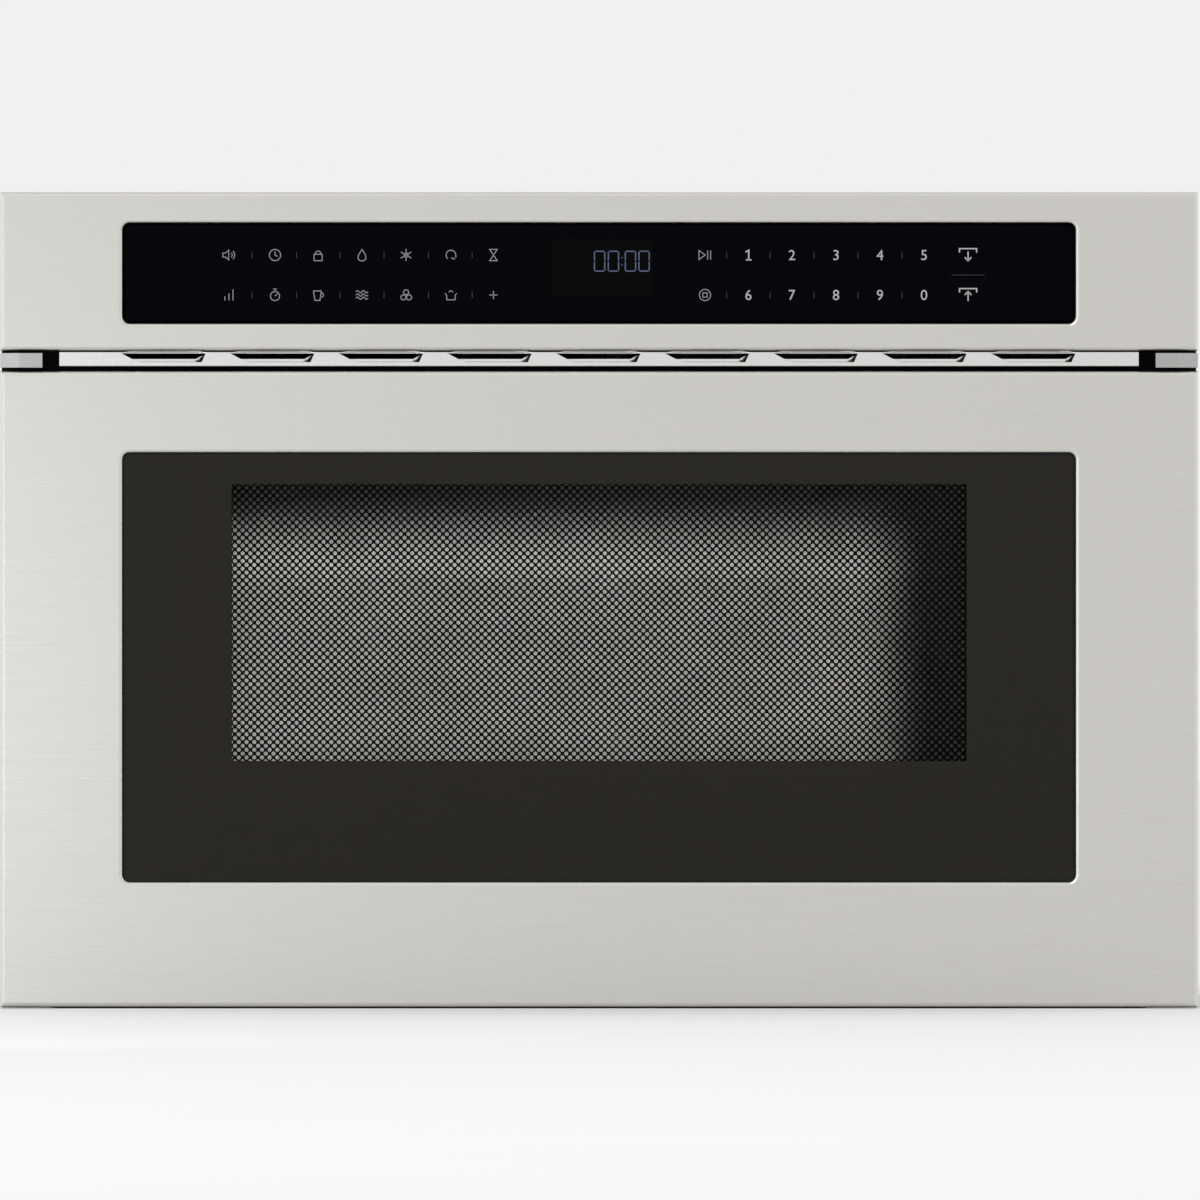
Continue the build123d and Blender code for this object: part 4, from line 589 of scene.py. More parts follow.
@dataclass(frozen=True)
class Brushed(Finish):
    """Sheet brushed in one direction.

    Args:
        along: streaks a metre in the direction of the brushing.
        across: streaks a metre across it.
        banding: how much the soft upright bands show; they are partly random tone and partly painted
            reflection.
    """

    along: float = 26.0
    across: float = 1700.0
    banding: float = 0.25

    def detail(self, ground: Ground) -> None:
        """Fine streaks over soft bands that are partly painted reflection.

        Args:
            ground: what they are drawn on.
        """
        grain = ground.pattern(Pattern.BRUSHED, Normal=ground.normal, Along=self.along, Across=self.across)
        streak = grain["Streak"]
        # The bands mixed into the colour are partly painted reflection.
        self.feed(ground, ground.graph.blend(streak, grain["PaintedBand"], self.banding), streak, streak)


@dataclass(frozen=True)
class Zinc(Finish):
    """Zinc-coated sheet: small crystals, soft patches and a little dust.

    Args:
        crystals: crystals a metre.
    """

    crystals: float = 120.0

    def detail(self, ground: Ground) -> None:
        """Crystals with their seams, and dust on top.

        Args:
            ground: what they are drawn on.
        """
        graph = ground.graph
        cell = ground.pattern(Pattern.SPANGLE, Scale=self.crystals)
        patch = ground.pattern(Pattern.MOTTLE, Scale=7.0)["Value"]
        dust = ground.pattern(Pattern.DUST, Normal=ground.normal)["Mask"]
        tone = graph.math("MAXIMUM", graph.blend(cell["Facet"], patch, 0.4), graph.times(cell["Seam"], 0.5))
        self.feed(ground, tone, graph.math("MAXIMUM", cell["Facet"], dust), cell["Facet"])


@dataclass(frozen=True)
class Coated(Finish):
    """Sprayed or enamelled steel, or a moulding: a fine grain over soft patches, with dust on top.

    Args:
        grain: grains a metre.
        patches: patches a metre.
    """

    grain: float = 1400.0
    patches: float = 14.0

    def detail(self, ground: Ground) -> None:
        """Grain, patches and dust.

        Args:
            ground: what they are drawn on.
        """
        fine = ground.pattern(Pattern.STIPPLE, Scale=self.grain)["Height"]
        patch = ground.pattern(Pattern.MOTTLE, Scale=self.patches)["Value"]
        dust = ground.pattern(Pattern.DUST, Normal=ground.normal)["Mask"]
        blend = ground.graph.blend
        self.feed(ground, blend(patch, dust, 0.3), blend(fine, patch, 0.5), fine)


@dataclass(frozen=True)
class Speckled(Finish):
    """Glass-ceramic with fine dark specks under a polished face."""

    def detail(self, ground: Ground) -> None:
        """Specks, and faint wiping marks in the gloss.

        Args:
            ground: what they are drawn on.
        """
        patch = ground.pattern(Pattern.MOTTLE, Scale=20.0)["Value"]
        self.feed(ground, ground.pattern(Pattern.STIPPLE, Scale=900.0)["Speck"], patch, patch)


class Axis(Enum):
    """A direction in which layers are stacked."""

    Y = 1
    Z = 2


@dataclass(frozen=True)
class Layered(Finish):
    """Stacked sheets or wound turns.

    Args:
        axis: direction across the layers.
        pitch: thickness of one layer.
    """

    axis: Axis = Axis.Z
    pitch: float = 0.0005

    def detail(self, ground: Ground) -> None:
        """A darkened groove between layers, partly painted shade, and a tone for each.

        Args:
            ground: what they are drawn on.
        """
        graph = ground.graph
        height = graph.axes(ground.place)[self.axis.value]
        layer = PatternBook.place(graph, Pattern.LAYERS, Position=height, Pitch=self.pitch)
        patch = ground.pattern(Pattern.MOTTLE, Scale=60.0)["Value"]
        # The groove darkens toward the tint: painted shade between fins and between turns, a dark joint
        # between laminations.
        mask = graph.math("MAXIMUM", graph.times(layer["Tone"], 0.5), layer["Groove"])
        self.feed(ground, mask, patch, graph.math("SUBTRACT", 1.0, layer["Groove"]))


@dataclass(frozen=True)
class Circuit(Finish):
    """Solder-masked board with fitted parts that stand out behind it.

    Args:
        board: lowest and highest place of the bare board along Y.
        parts: colour of what stands on it.
    """

    board: tuple[float, float] = (-1.0, 1.0)
    parts: Color = (0.03, 0.03, 0.035)

    def detail(self, ground: Ground) -> None:
        """Thin tracks on the board, plain mouldings off it.

        Args:
            ground: what they are drawn on.
        """
        graph = ground.graph
        slack = 0.0001
        axes = graph.axes(ground.place)
        front = graph.add("CombineXYZ", {0: axes[0], 1: axes[2]}).outputs[0]
        track = graph.add("TexBrick", {"Vector": front, "Scale": 60.0, "Mortar Size": 0.03}).outputs["Fac"]
        fine = ground.pattern(Pattern.STIPPLE, Scale=500.0)
        mask = graph.math("MAXIMUM", track, graph.times(fine["Speck"], 0.6))
        before = graph.math("GREATER_THAN", axes[1], self.board[0] - slack)
        on_board = graph.times(before, graph.math("LESS_THAN", axes[1], self.board[1] + slack))
        ground.link("Base Color", graph.mix(on_board, self.parts, graph.mix(mask, self.color, self.tint)))
        ground.link("Roughness", graph.spread(fine["Height"], 0.0, 1.0, *self.gloss))


@dataclass(frozen=True)
class Pane(Finish):
    """Printed front glass: opaque but for a window that shows what is behind.

    Args:
        window: left, right, bottom and top of the window.
        clearness: how much of what is behind shows through each face of the window.
    """

    window: tuple[float, float, float, float] = (0.0, 0.0, 0.0, 0.0)
    clearness: float = 0.0

    def detail(self, ground: Ground) -> None:
        """Print outside the window, smoke inside it, and faint wiping marks in the gloss.

        Args:
            ground: what they are drawn on.
        """
        sides = dict(zip(("Left", "Right", "Bottom", "Top"), self.window))
        inside = ground.pattern(Pattern.WINDOW, **sides)["Mask"]
        self.feed(ground, inside, ground.pattern(Pattern.MOTTLE, Scale=9.0)["Value"])
        if self.clearness:
            ground.link("Alpha", ground.graph.spread(inside, 0.0, 1.0, 1.0, 1.0 - self.clearness))


@dataclass(frozen=True)
class ClearGlass(Finish):
    """Clear glass with faint wiping marks."""

    def detail(self, ground: Ground) -> None:
        """Gloss that varies a little over the face.

        Args:
            ground: what it is drawn on.
        """
        ground.fix("Transmission Weight", 1.0)
        patch = ground.pattern(Pattern.MOTTLE, Scale=12.0)["Value"]
        self.feed(ground, patch, patch)


@dataclass(frozen=True)
class Lit(Finish):
    """Lit segments behind the panel.

    Args:
        power: strength of the light.
    """

    power: float = 1.0

    def detail(self, ground: Ground) -> None:
        """Light that is a little uneven along a segment.

        Args:
            ground: what it is drawn on.
        """
        patch = ground.pattern(Pattern.MOTTLE, Scale=300.0)["Value"]
        self.feed(ground, patch, patch)
        ground.link("Emission Color", ground.graph.mix(patch, self.color, self.tint))
        ground.fix("Emission Strength", self.power)


# Left, right, bottom and top of the clear part of each front glass.
WINDOW = (-0.1859, 0.1859, 0.1249, 0.2650)
CLOCK_WINDOW = (-0.0240, 0.0268, 0.3597, 0.3890)

STAINLESS = Brushed("stainless_brushed", "brushed_stainless", (0.655, 0.640, 0.606),
                    (0.625, 0.608, 0.572), (0.27, 0.35), 1.0, relief=0.000003)
# Lighter copy of the brushed stainless for the vent strip: a painted highlight.
HIGHLIGHT_STEEL = Brushed("stainless_painted_highlight", "brushed_stainless", (0.76, 0.755, 0.745),
                       (0.72, 0.715, 0.70), (0.22, 0.30), 1.0, relief=0.000003)
# Darker copy of the brushed stainless for the end trims: painted shade.
TRIM_SHADE_STEEL = Brushed("stainless_trim_painted_shade", "brushed_stainless", (0.47, 0.465, 0.455), (0.445, 0.44, 0.43),
                     (0.2, 0.28), 1.0, relief=0.000003)
ZINC = Zinc("zinc_sheet", "zinc_plated_steel", (0.60, 0.62, 0.635), (0.46, 0.48, 0.50), (0.30, 0.48),
            1.0, relief=0.00001)
# Near-black paint, darkened past the paint's own colour so the gaps beside the vent strip read as shade:
# partly painted shade.
GAP_SHADE_BLACK_PAINT = Coated("black_paint", "black_painted_steel", (0.0025, 0.0024, 0.0024),
                     (0.006, 0.006, 0.0058), (0.45, 0.6), 0.0, 0.12, relief=0.00003)
ENAMEL = Coated("cavity_enamel", "grey_cavity_enamel", (0.345, 0.345, 0.335), (0.31, 0.31, 0.30),
                (0.25, 0.42), relief=0.00003, grain=700.0)
CONTROL_GLASS = Pane("control_glass_black", "black_control_glass", (0.0014, 0.0014, 0.0024),
                     (0.0026, 0.0024, 0.0026), (0.03, 0.07), 0.0, 0.015, window=CLOCK_WINDOW)
DRAWER_GLASS = Pane("drawer_glass_smoked", "smoked_drawer_glass", (0.0215, 0.0195, 0.0160),
                    (0.0006, 0.00055, 0.0005), (0.04, 0.09), 0.0, 0.03, window=WINDOW, clearness=0.8)
SCREEN_BLACK = Coated("screen_black", "black_painted_steel", (0.0035, 0.0034, 0.0032),
                      (0.007, 0.007, 0.0066), (0.5, 0.65), 0.0, 0.03, relief=0.00002)
CLEAR_GLASS = ClearGlass("clear_pane", "clear_inner_glass", (0.95, 0.97, 0.97), (0.90, 0.93, 0.93),
                         (0.01, 0.05), specular=0.03)
CERAMIC = Speckled("glass_ceramic_white", "glass_ceramic", (0.80, 0.80, 0.78), (0.35, 0.34, 0.32),
                   (0.06, 0.14), relief=0.00002)
LIGHT_PLASTIC = Coated("light_moulding", "light_polymer", (0.66, 0.66, 0.64), (0.60, 0.60, 0.575),
                       (0.34, 0.5), relief=0.00003)
TUB_PLASTIC = Coated("tub_moulding", "light_polymer", (0.35, 0.35, 0.34), (0.325, 0.325, 0.315),
                     (0.34, 0.5), relief=0.00003)
DARK_PLASTIC = Coated("dark_moulding", "dark_polymer", (0.022, 0.022, 0.024), (0.045, 0.045, 0.046),
                      (0.42, 0.6), relief=0.00004)
RED_PLASTIC = Coated("red_moulding", "red_polymer", (0.55, 0.03, 0.02), (0.42, 0.022, 0.016),
                     (0.32, 0.45), relief=0.00002)
RUBBER = Coated("black_bumper_rubber", "black_rubber", (0.014, 0.014, 0.014), (0.028, 0.028, 0.027),
                (0.7, 0.85), relief=0.00005)
PHENOLIC = Coated("black_phenolic_case", "black_phenolic", (0.018, 0.016, 0.015), (0.035, 0.031, 0.028),
                  (0.3, 0.45), relief=0.00002)
# In the layered finishes the tint darkens each groove: painted shade between fins and between turns, a dark
# joint between laminations.
FINS = Layered("fin_stack", "fin_aluminium", (0.78, 0.79, 0.80), (0.62, 0.63, 0.64), (0.22, 0.38), 1.0,
               relief=0.00004, axis=Axis.Z, pitch=0.0004)
LAMINATIONS = Layered("core_laminations", "lamination_steel", (0.13, 0.125, 0.12), (0.035, 0.032, 0.03),
                      (0.35, 0.55), 1.0, relief=0.00012, axis=Axis.Y, pitch=0.0008)
COPPER = Layered("enamelled_copper", "copper_winding", (0.62, 0.26, 0.11), (0.22, 0.08, 0.035),
                 (0.22, 0.36), 1.0, relief=0.00035, axis=Axis.Z, pitch=0.0011)
SCREW = Brushed("screw_plating", "plated_screw", (0.66, 0.67, 0.69), (0.52, 0.53, 0.55), (0.2, 0.34),
                1.0, relief=0.000004, along=300.0, across=4000.0, banding=0.2)
INK = Coated("panel_ink", "light_polymer", (0.42, 0.425, 0.43), (0.35, 0.355, 0.36), (0.45, 0.6), 0.0,
             0.1, grain=4000.0, patches=400.0)
SOFT_INK = Coated("panel_ink_soft", "light_polymer", (0.28, 0.28, 0.285), (0.23, 0.23, 0.235),
                  (0.45, 0.6), 0.0, 0.1, grain=4000.0, patches=400.0)
DIM_INK = Coated("panel_ink_dim", "light_polymer", (0.045, 0.045, 0.048), (0.03, 0.03, 0.032),
                 (0.45, 0.6), 0.0, 0.1, grain=4000.0, patches=400.0)
CLOCK_LIGHT = Lit("clock_segments_lit", "light_polymer", (0.050, 0.066, 0.105), (0.038, 0.052, 0.085),
                  (0.4, 0.5), 0.0, 0.1, power=1.0)


def circuit_finish(node: str) -> Circuit:
    """The finish of a circuit board, whose bare board lies where the node's box says.

    Args:
        node: name of the node. The filter's board stands on posts behind it, the others on none.

    Returns:
        The finish.
    """
    thickness, posts = 0.0016, 0.008
    low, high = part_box(node)
    start = high.y - posts - thickness if node == "filter_board" else low.y
    return Circuit(f"{node}_mask", "circuit_board", (0.012, 0.075, 0.035), (0.05, 0.17, 0.08), (0.25, 0.4),
                   board=(start, start + thickness))


# ---------------------------------------------------------------- sub-assemblies
@dataclass
class SubAssembly:
    """A group of pieces of the appliance. Its nodes are dressed as they are, its own pieces are built.

    Args:
        finishes: each of its nodes with what it is made of.
    """

    finishes: dict[str, Finish] = field(default_factory=dict)

    def dress(self) -> None:
        """Gives each carried-over node its finish."""
        for node, finish in self.finishes.items():
            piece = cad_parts[node]
            for place in piece.material_slots:
                place.material = finish.material()
        LOG.info("%s: %d nodes dressed", type(self).__name__, len(self.finishes))

    def build(self) -> None:
        """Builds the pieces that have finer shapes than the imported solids."""


@dataclass
class Housing(SubAssembly):
    """Sheet-steel box, its screws and the cord gland."""

    finishes: dict[str, Finish] = field(default_factory=lambda: {
        # The front frame's near-black is partly painted shade of the gaps around the vent strip.
        "base_plate": ZINC, "outer_wrapper": ZINC, "rear_panel": ZINC, "front_frame": GAP_SHADE_BLACK_PAINT,
        # The end trims get the darker copy of the stainless: painted shade.
        "housing_screws": SCREW, "cord_gland": RUBBER, "fascia_panel": STAINLESS, "end_trims": TRIM_SHADE_STEEL})


@dataclass
class Cavity(SubAssembly):
    """Oven cavity and the microwave source above and behind it."""

    finishes: dict[str, Finish] = field(default_factory=lambda: {
        "cavity_liner": ENAMEL, "stirrer_cover": LIGHT_PLASTIC, "stirrer_blade": LIGHT_PLASTIC,
        "waveguide": ZINC, "stirrer_motor": ZINC, "magnetron_yoke": ZINC, "magnetron_fins": FINS,
        "thermal_cutouts": PHENOLIC, "oven_lamp": CLEAR_GLASS})


@dataclass
class Cooling(SubAssembly):
    """Fan with its motor, and the ducts."""

    finishes: dict[str, Finish] = field(default_factory=lambda: {
        "fan_housing": DARK_PLASTIC, "fan_impeller": DARK_PLASTIC, "fan_motor": LAMINATIONS,
        "air_duct": DARK_PLASTIC, "exhaust_duct": DARK_PLASTIC})


@dataclass
class PowerSupply(SubAssembly):
    """High-voltage parts and the mains filter."""

    finishes: dict[str, Finish] = field(default_factory=lambda: {
        "transformer_core": LAMINATIONS, "transformer_windings": COPPER, "hv_capacitor": ZINC,
        "hv_diode": PHENOLIC, "filter_board": circuit_finish("filter_board")})


@dataclass
class Slides(SubAssembly):
    """Telescopic slides, the carriage between them and its drive."""

    finishes: dict[str, Finish] = field(default_factory=lambda: {
        "slide_outer_right": ZINC, "slide_outer_left": ZINC, "slide_mid_right": ZINC,
        "slide_mid_left": ZINC, "slide_inners": ZINC, "slide_brackets": ZINC, "drawer_carriage": ZINC,
        "drawer_screws": SCREW,
        "drive_rack": DARK_PLASTIC, "drive_pinion": LIGHT_PLASTIC, "drive_gearmotor": DARK_PLASTIC})


@dataclass
class Interlocks(SubAssembly):
    """Switches, their bracket and the strikers on the drawer."""

    finishes: dict[str, Finish] = field(default_factory=lambda: {
        "switch_bracket": ZINC, "interlock_switches": PHENOLIC, "interlock_strikers": DARK_PLASTIC,
        "switch_plunger_lower": RED_PLASTIC, "switch_plunger_upper": RED_PLASTIC})


@dataclass
class DrawerBody(SubAssembly):
    """Front of the drawer with its glasses and screen, and the tub behind it.

    Args:
        pitch: distance between two holes of a row, and twice the distance between rows.
        radius: radius of a hole.
        columns: holes in a row.
        rows: rows of holes.
    """

    finishes: dict[str, Finish] = field(default_factory=lambda: {
        "drawer_front": STAINLESS, "drawer_glass": DRAWER_GLASS, "glass_carrier": DARK_PLASTIC,
        "choke_frame": GAP_SHADE_BLACK_PAINT, "choke_cover": DARK_PLASTIC, "inner_glass": CLEAR_GLASS,
        "drawer_tub": TUB_PLASTIC, "floor_tray": CERAMIC, "drawer_bumpers": RUBBER})
    pitch: float = 0.0039
    radius: float = 0.00106
    columns: int = 97
    rows: int = 73

    def build(self) -> None:
        """Builds the screen with real holes, as a left and a right half."""
        low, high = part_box("perforated_screen")
        for name, side in (("screen_left", -1), ("screen_right", 1)):
            points, faces = self.screen_half(side, np.array(low), np.array(high))
            piece = add_piece(name, points, faces, SCREEN_BLACK, "drawer")
            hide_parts("perforated_screen")

    def screen_half(self, side: int, low: Array, high: Array) -> Surface:
        """One half of the perforated screen.

        The holes lie on x = pitch * (i + (j mod 2) / 2), z = pitch / 2 * j. Each sits in a diamond whose
        half diagonals are half a pitch, and the diamonds fill the plane. A hole has the points
        radius * (cos t, sin t) at eight even angles t.

        Args:
            side: minus one for the left half, one for the right half.
            low: lowest corner of the whole screen.
            high: highest corner of the whole screen.

        Returns:
            Points and triangles of the closed sheet.
        """
        half = self.pitch / 2
        middle = (low + high) / 2
        j = np.arange(self.rows) - (self.rows - 1) / 2
        i = np.arange(self.columns) - (self.columns - 1) / 2
        row, column = np.meshgrid(j, i, indexing="ij")
        odd = np.mod(np.arange(self.rows), 2)[:, None]
        x = (column + odd * 0.5) * self.pitch - half / 2
        kept = (np.sign(x - 1e-7) == side)
        centres = np.stack([x[kept], (row * half)[kept]], 1)
        angles = np.arange(8) * math.pi / 4
        ring = self.radius * np.stack([np.cos(angles), np.sin(angles)], 1)
        tips = half * np.array([[1, 0], [0, 1], [-1, 0], [0, -1]])
        cell = np.concatenate([ring, tips])
        corners = []
        for k in range(4):
            first, second, third, tip, following = 2 * k, 2 * k + 1, (2 * k + 2) % 8, 8 + k, 8 + (k + 1) % 4
            corners += [(first, tip, second), (second, tip, following), (second, following, third)]
        points = (centres[:, None, :] + cell[None]).reshape(-1, 2)
        faces = (np.arange(len(centres))[:, None, None] * 12 + np.array(corners)[None]).reshape(-1, 3)
        border, rim = self.border(side, centres, half, (low - middle)[[0, 2]], (high - middle)[[0, 2]])
        flat, faces = join([(points, faces), (border, rim)])
        flat = np.stack([flat[:, 0] + middle[0], np.full(len(flat), low[1]), flat[:, 1] + middle[2]], 1)
        flat, faces = weld(flat, faces, 2e-7)
        return thicken(flat, faces, np.array([0.0, high[1] - low[1], 0.0]))

    @staticmethod
    def border(side: int, centres: Array, half: float, low: Array, high: Array) -> Surface:
        """Plain sheet between the outer diamonds and the edge of one half.

        Each outer tip of a diamond at the field's edge is joined straight to the sheet's edge, and the
        strips between neighbouring tips are two triangles each.

        Args:
            side: minus one for the left half, one for the right half.
            centres: middles of the diamonds of this half.
            half: half diagonal of a diamond.
            low: lowest corner of the sheet, from its middle.
            high: highest corner of the sheet, from its middle.

        Returns:
            Points and triangles that face the same way as the diamonds.
        """
        parts = []

        def strip(inner: Array, outer: Array) -> None:
            """Adds the band between two lines with as many points each."""
            points = np.concatenate([inner, outer])
            parts.append((points, triangles_of_grid(2, len(inner))))

        bottom, top = centres[:, 1].min(), centres[:, 1].max()
        edges = {}
        for name, level, sign in (("bottom", bottom, -1), ("top", top, 1)):
            xs = np.sort(centres[np.abs(centres[:, 1] - level) < half / 4][:, 0])
            line = np.empty((2 * len(xs) + 1, 2))
            line[1::2] = np.stack([xs, np.full(len(xs), level + sign * half)], 1)
            line[0::2] = np.stack([np.append(xs - half, xs[-1] + half), np.full(len(xs) + 1, level)], 1)
            edges[name] = line
        outer_x = high[0] if side > 0 else low[0]
        rows = np.unique(np.round(centres[:, 1] / half)) * half
        reach = [centres[np.abs(centres[:, 1] - z) < half / 4][:, 0] for z in rows]
        tip = np.array([(xs.max() + half if side > 0 else xs.min() - half) for xs in reach])
        flank = np.stack([tip, rows], 1)
        wall = np.stack([np.full(len(rows), outer_x), rows], 1)
        strip(*((flank, wall) if side > 0 else (wall, flank)))
        for name, level, sign in (("bottom", low[1], -1), ("top", high[1], 1)):
            line = edges[name]
            out = line.copy()
            out[:, 1] = level
            strip(*((line, out)[::sign]))
            end = line[-1] if side > 0 else line[0]
            corner = np.array([[end[0], end[1]], [outer_x, end[1]], [end[0], level], [outer_x, level]])
            order = triangles_of_grid(2, 2)
            parts.append((corner, order if side * sign < 0 else order[:, ::-1]))
        points, faces = join(parts)
        return points, turned_alike(points, faces, 1e-14)


@dataclass
class VentStrip(SubAssembly):
    """Louvred strip between the fascia and the drawer front.

    Heights are measured from the strip's lower edge.

    Args:
        sheet: thickness of the strip.
        bend: radius of its lower fold.
        top_bend: radius of its upper fold.
        count: louvres in the row.
        left: plain steel left of the row, at its upper edge.
        land: steel between two louvres, at its upper edge.
        length: upper edge of a louvre.
        slope: how far the left end leans in for each unit of height.
        lean: the same for the right end.
        foot: height at which the lip is folded outwards.
        crease: height at which it stands out in full.
        lip: height of its upper edge.
        head: height of the opening's upper edge.
        stand: how far the lip stands out.
        hood: how far the opening's upper edge is pressed in.
        notch: open end of a louvre, beside its lip.
        setback: how far the strip's face lies behind the fascia's.
        tuck: how far a louvre's turned-in end goes in behind the next land.
        under: how far that end goes under the steel beside it.
        steps: even steps of a land, a louvre or an open end.
    """

    sheet: float = 0.0008
    bend: float = 0.0007
    top_bend: float = 0.0003
    count: int = 9
    left: float = 0.03005
    land: float = 0.0107
    length: float = 0.0443
    slope: float = 1.87
    lean: float = 0.45
    foot: float = 0.0021
    crease: float = 0.0026
    lip: float = 0.0037
    head: float = 0.0066
    stand: float = 0.0013
    hood: float = 0.0010
    notch: float = 0.0038
    setback: float = 0.0020
    tuck: float = 0.0028
    under: float = 0.0003
    steps: int = 8

    def build(self) -> None:
        """Builds the strip as one sheet, with the turned-in ends of the louvres."""
        low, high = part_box("vent_grille")
        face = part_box("fascia_panel")[0].y + self.setback
        points, faces = weld(*self.surface(low, high, face))
        strip = thicken(points, faces, -sheet_normals(points, faces) * self.sheet)
        ends = low.x + self.left + self.length + np.arange(self.count) * (self.length + self.land)
        closings = [self.closed_end(end, low.z, high.z - low.z, face) for end in ends]
        # The strip wears the lighter copy of the stainless, a painted highlight.
        piece = add_piece("vent_strip", *join([strip, *closings]), HIGHLIGHT_STEEL, "housing")
        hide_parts("vent_grille")

    def columns(self, low: float, high: float, depth: float) -> Array:
        """Places along X at a depth below the strip's upper edge.

        Lands, louvres and their open ends come in turn, each cut into even steps.

        Args:
            low: left end of the strip.
            high: right end of the strip.
            depth: distance below the strip's upper edge.

        Returns:
            The places from left to right.
        """
        starts = low + self.left + np.arange(self.count) * (self.length + self.land)
        ends = starts + self.length - self.lean * depth
        stops = np.stack([starts + self.slope * depth, ends - self.notch, ends], 1).ravel()
        stops = np.concatenate([[low], stops, [high]])
        share = np.arange(self.steps) / self.steps
        return np.append((stops[:-1, None] + np.diff(stops)[:, None] * share).ravel(), high)

    def surface(self, low: Vector, high: Vector, face: float) -> Surface:
        """Front surface of the strip.

        Its section runs from the lower flange over a bend to the face, up over the lip to the opening, and
        from the opening's head over a bend to the upper flange. Inside a louvre a point moves by w times
        the section's own step out of the face. w is 3 t^2 - 2 t^3 over the first sixth of the louvre, 1 in
        its middle, and falls to 0 over its open end.

        Args:
            low: lowest corner of the strip.
            high: highest corner of the strip.
            face: place of the flat face along Y.

        Returns:
            Points and triangles that face outwards.
        """
        turn = np.linspace(0.0, math.pi / 2, 5)
        r, q = self.bend, self.top_bend
        lip_share, slack = 0.8, 0.0002
        flat_low = [(high.y, 0.0), *zip(face + r - r * np.sin(turn), r - r * np.cos(turn)),
                    (face, self.foot)]
        tall = high.z - low.z
        flat_high = [*zip(face + q - q * np.cos(turn), tall - q + q * np.sin(turn)), (high.y, tall)]
        section = [(y, z, 0.0) for y, z in flat_low]
        section += [(face, self.crease, -self.stand), (face, self.lip, -self.stand * lip_share)]
        lip_row = len(section) - 1
        section += [(face, self.head, self.hood)]
        section += [(y, z, max(0.0, face + self.hood * (tall - z) / (tall - self.head) - y) + slack)
                    for y, z in flat_high[:-1]] + [(*flat_high[-1], 0.0)]
        part = np.repeat(np.arange(3 * self.count + 1) % 3, self.steps)
        share = np.tile(np.arange(self.steps) / self.steps, 3 * self.count + 1)
        rise = np.clip(share * 6, 0, 1)
        weight = np.select([part == 1, part == 2], [rise * rise * (3 - 2 * rise), 1 - share], 0.0)
        weight = np.append(weight, 0.0)
        rows = [np.stack([self.columns(low.x, high.x, tall - z), y + out * weight,
                          np.full(len(weight), low.z + z)], 1) for y, z, out in section]
        width = len(weight)
        faces = triangles_of_grid(len(section), width).reshape(2, len(section) - 1, width - 1, 3)
        kept = np.ones((len(section) - 1, width - 1), bool)
        kept[lip_row, part > 0] = False
        kept[lip_row - 2:lip_row, part == 2] = False
        return np.concatenate(rows), faces[:, kept].reshape(-1, 3)

    def closed_end(self, end: float, low: float, tall: float, face: float) -> Surface:
        """The turned-in end of a louvre, which closes the notch beside its lip.

        Over t from 0 at the lip to 1 under the next land, and v from 0 at the foot to 1, the sheet lies at
        depth (stand + tuck) t - stand, its upper edge rolls back by v^4, and that edge rises from the lip to
        the opening's head.

        Args:
            end: right end of the louvre at the strip's upper edge.
            low: lower edge of the strip.
            tall: height of the strip.
            face: place of the flat face along Y.

        Returns:
            Points and triangles of the closed sheet.
        """
        across, up = 13, 9
        t, v = np.meshgrid(np.linspace(0.0, 1.0, across), np.linspace(0.0, 1.0, up), indexing="xy")
        foot = self.foot - self.under
        z = foot + (self.lip - foot + (self.head - self.lip) * t) * v
        x = end - self.lean * (tall - z) - self.notch + (self.notch + self.under) * t
        y = (face - self.stand + (self.stand + self.tuck) * t + self.stand * (1 - t) * (1 - v) ** 3
             + self.under * 2 * v ** 4)
        points = np.stack([x, y, low + z], 2).reshape(-1, 3)
        faces = triangles_of_grid(up, across)
        if sheet_normals(points, faces)[:, 1].mean() > 0:
            faces = faces[:, ::-1]
        return thicken(points, faces, np.array([0.0, self.sheet / 2, 0.0]))


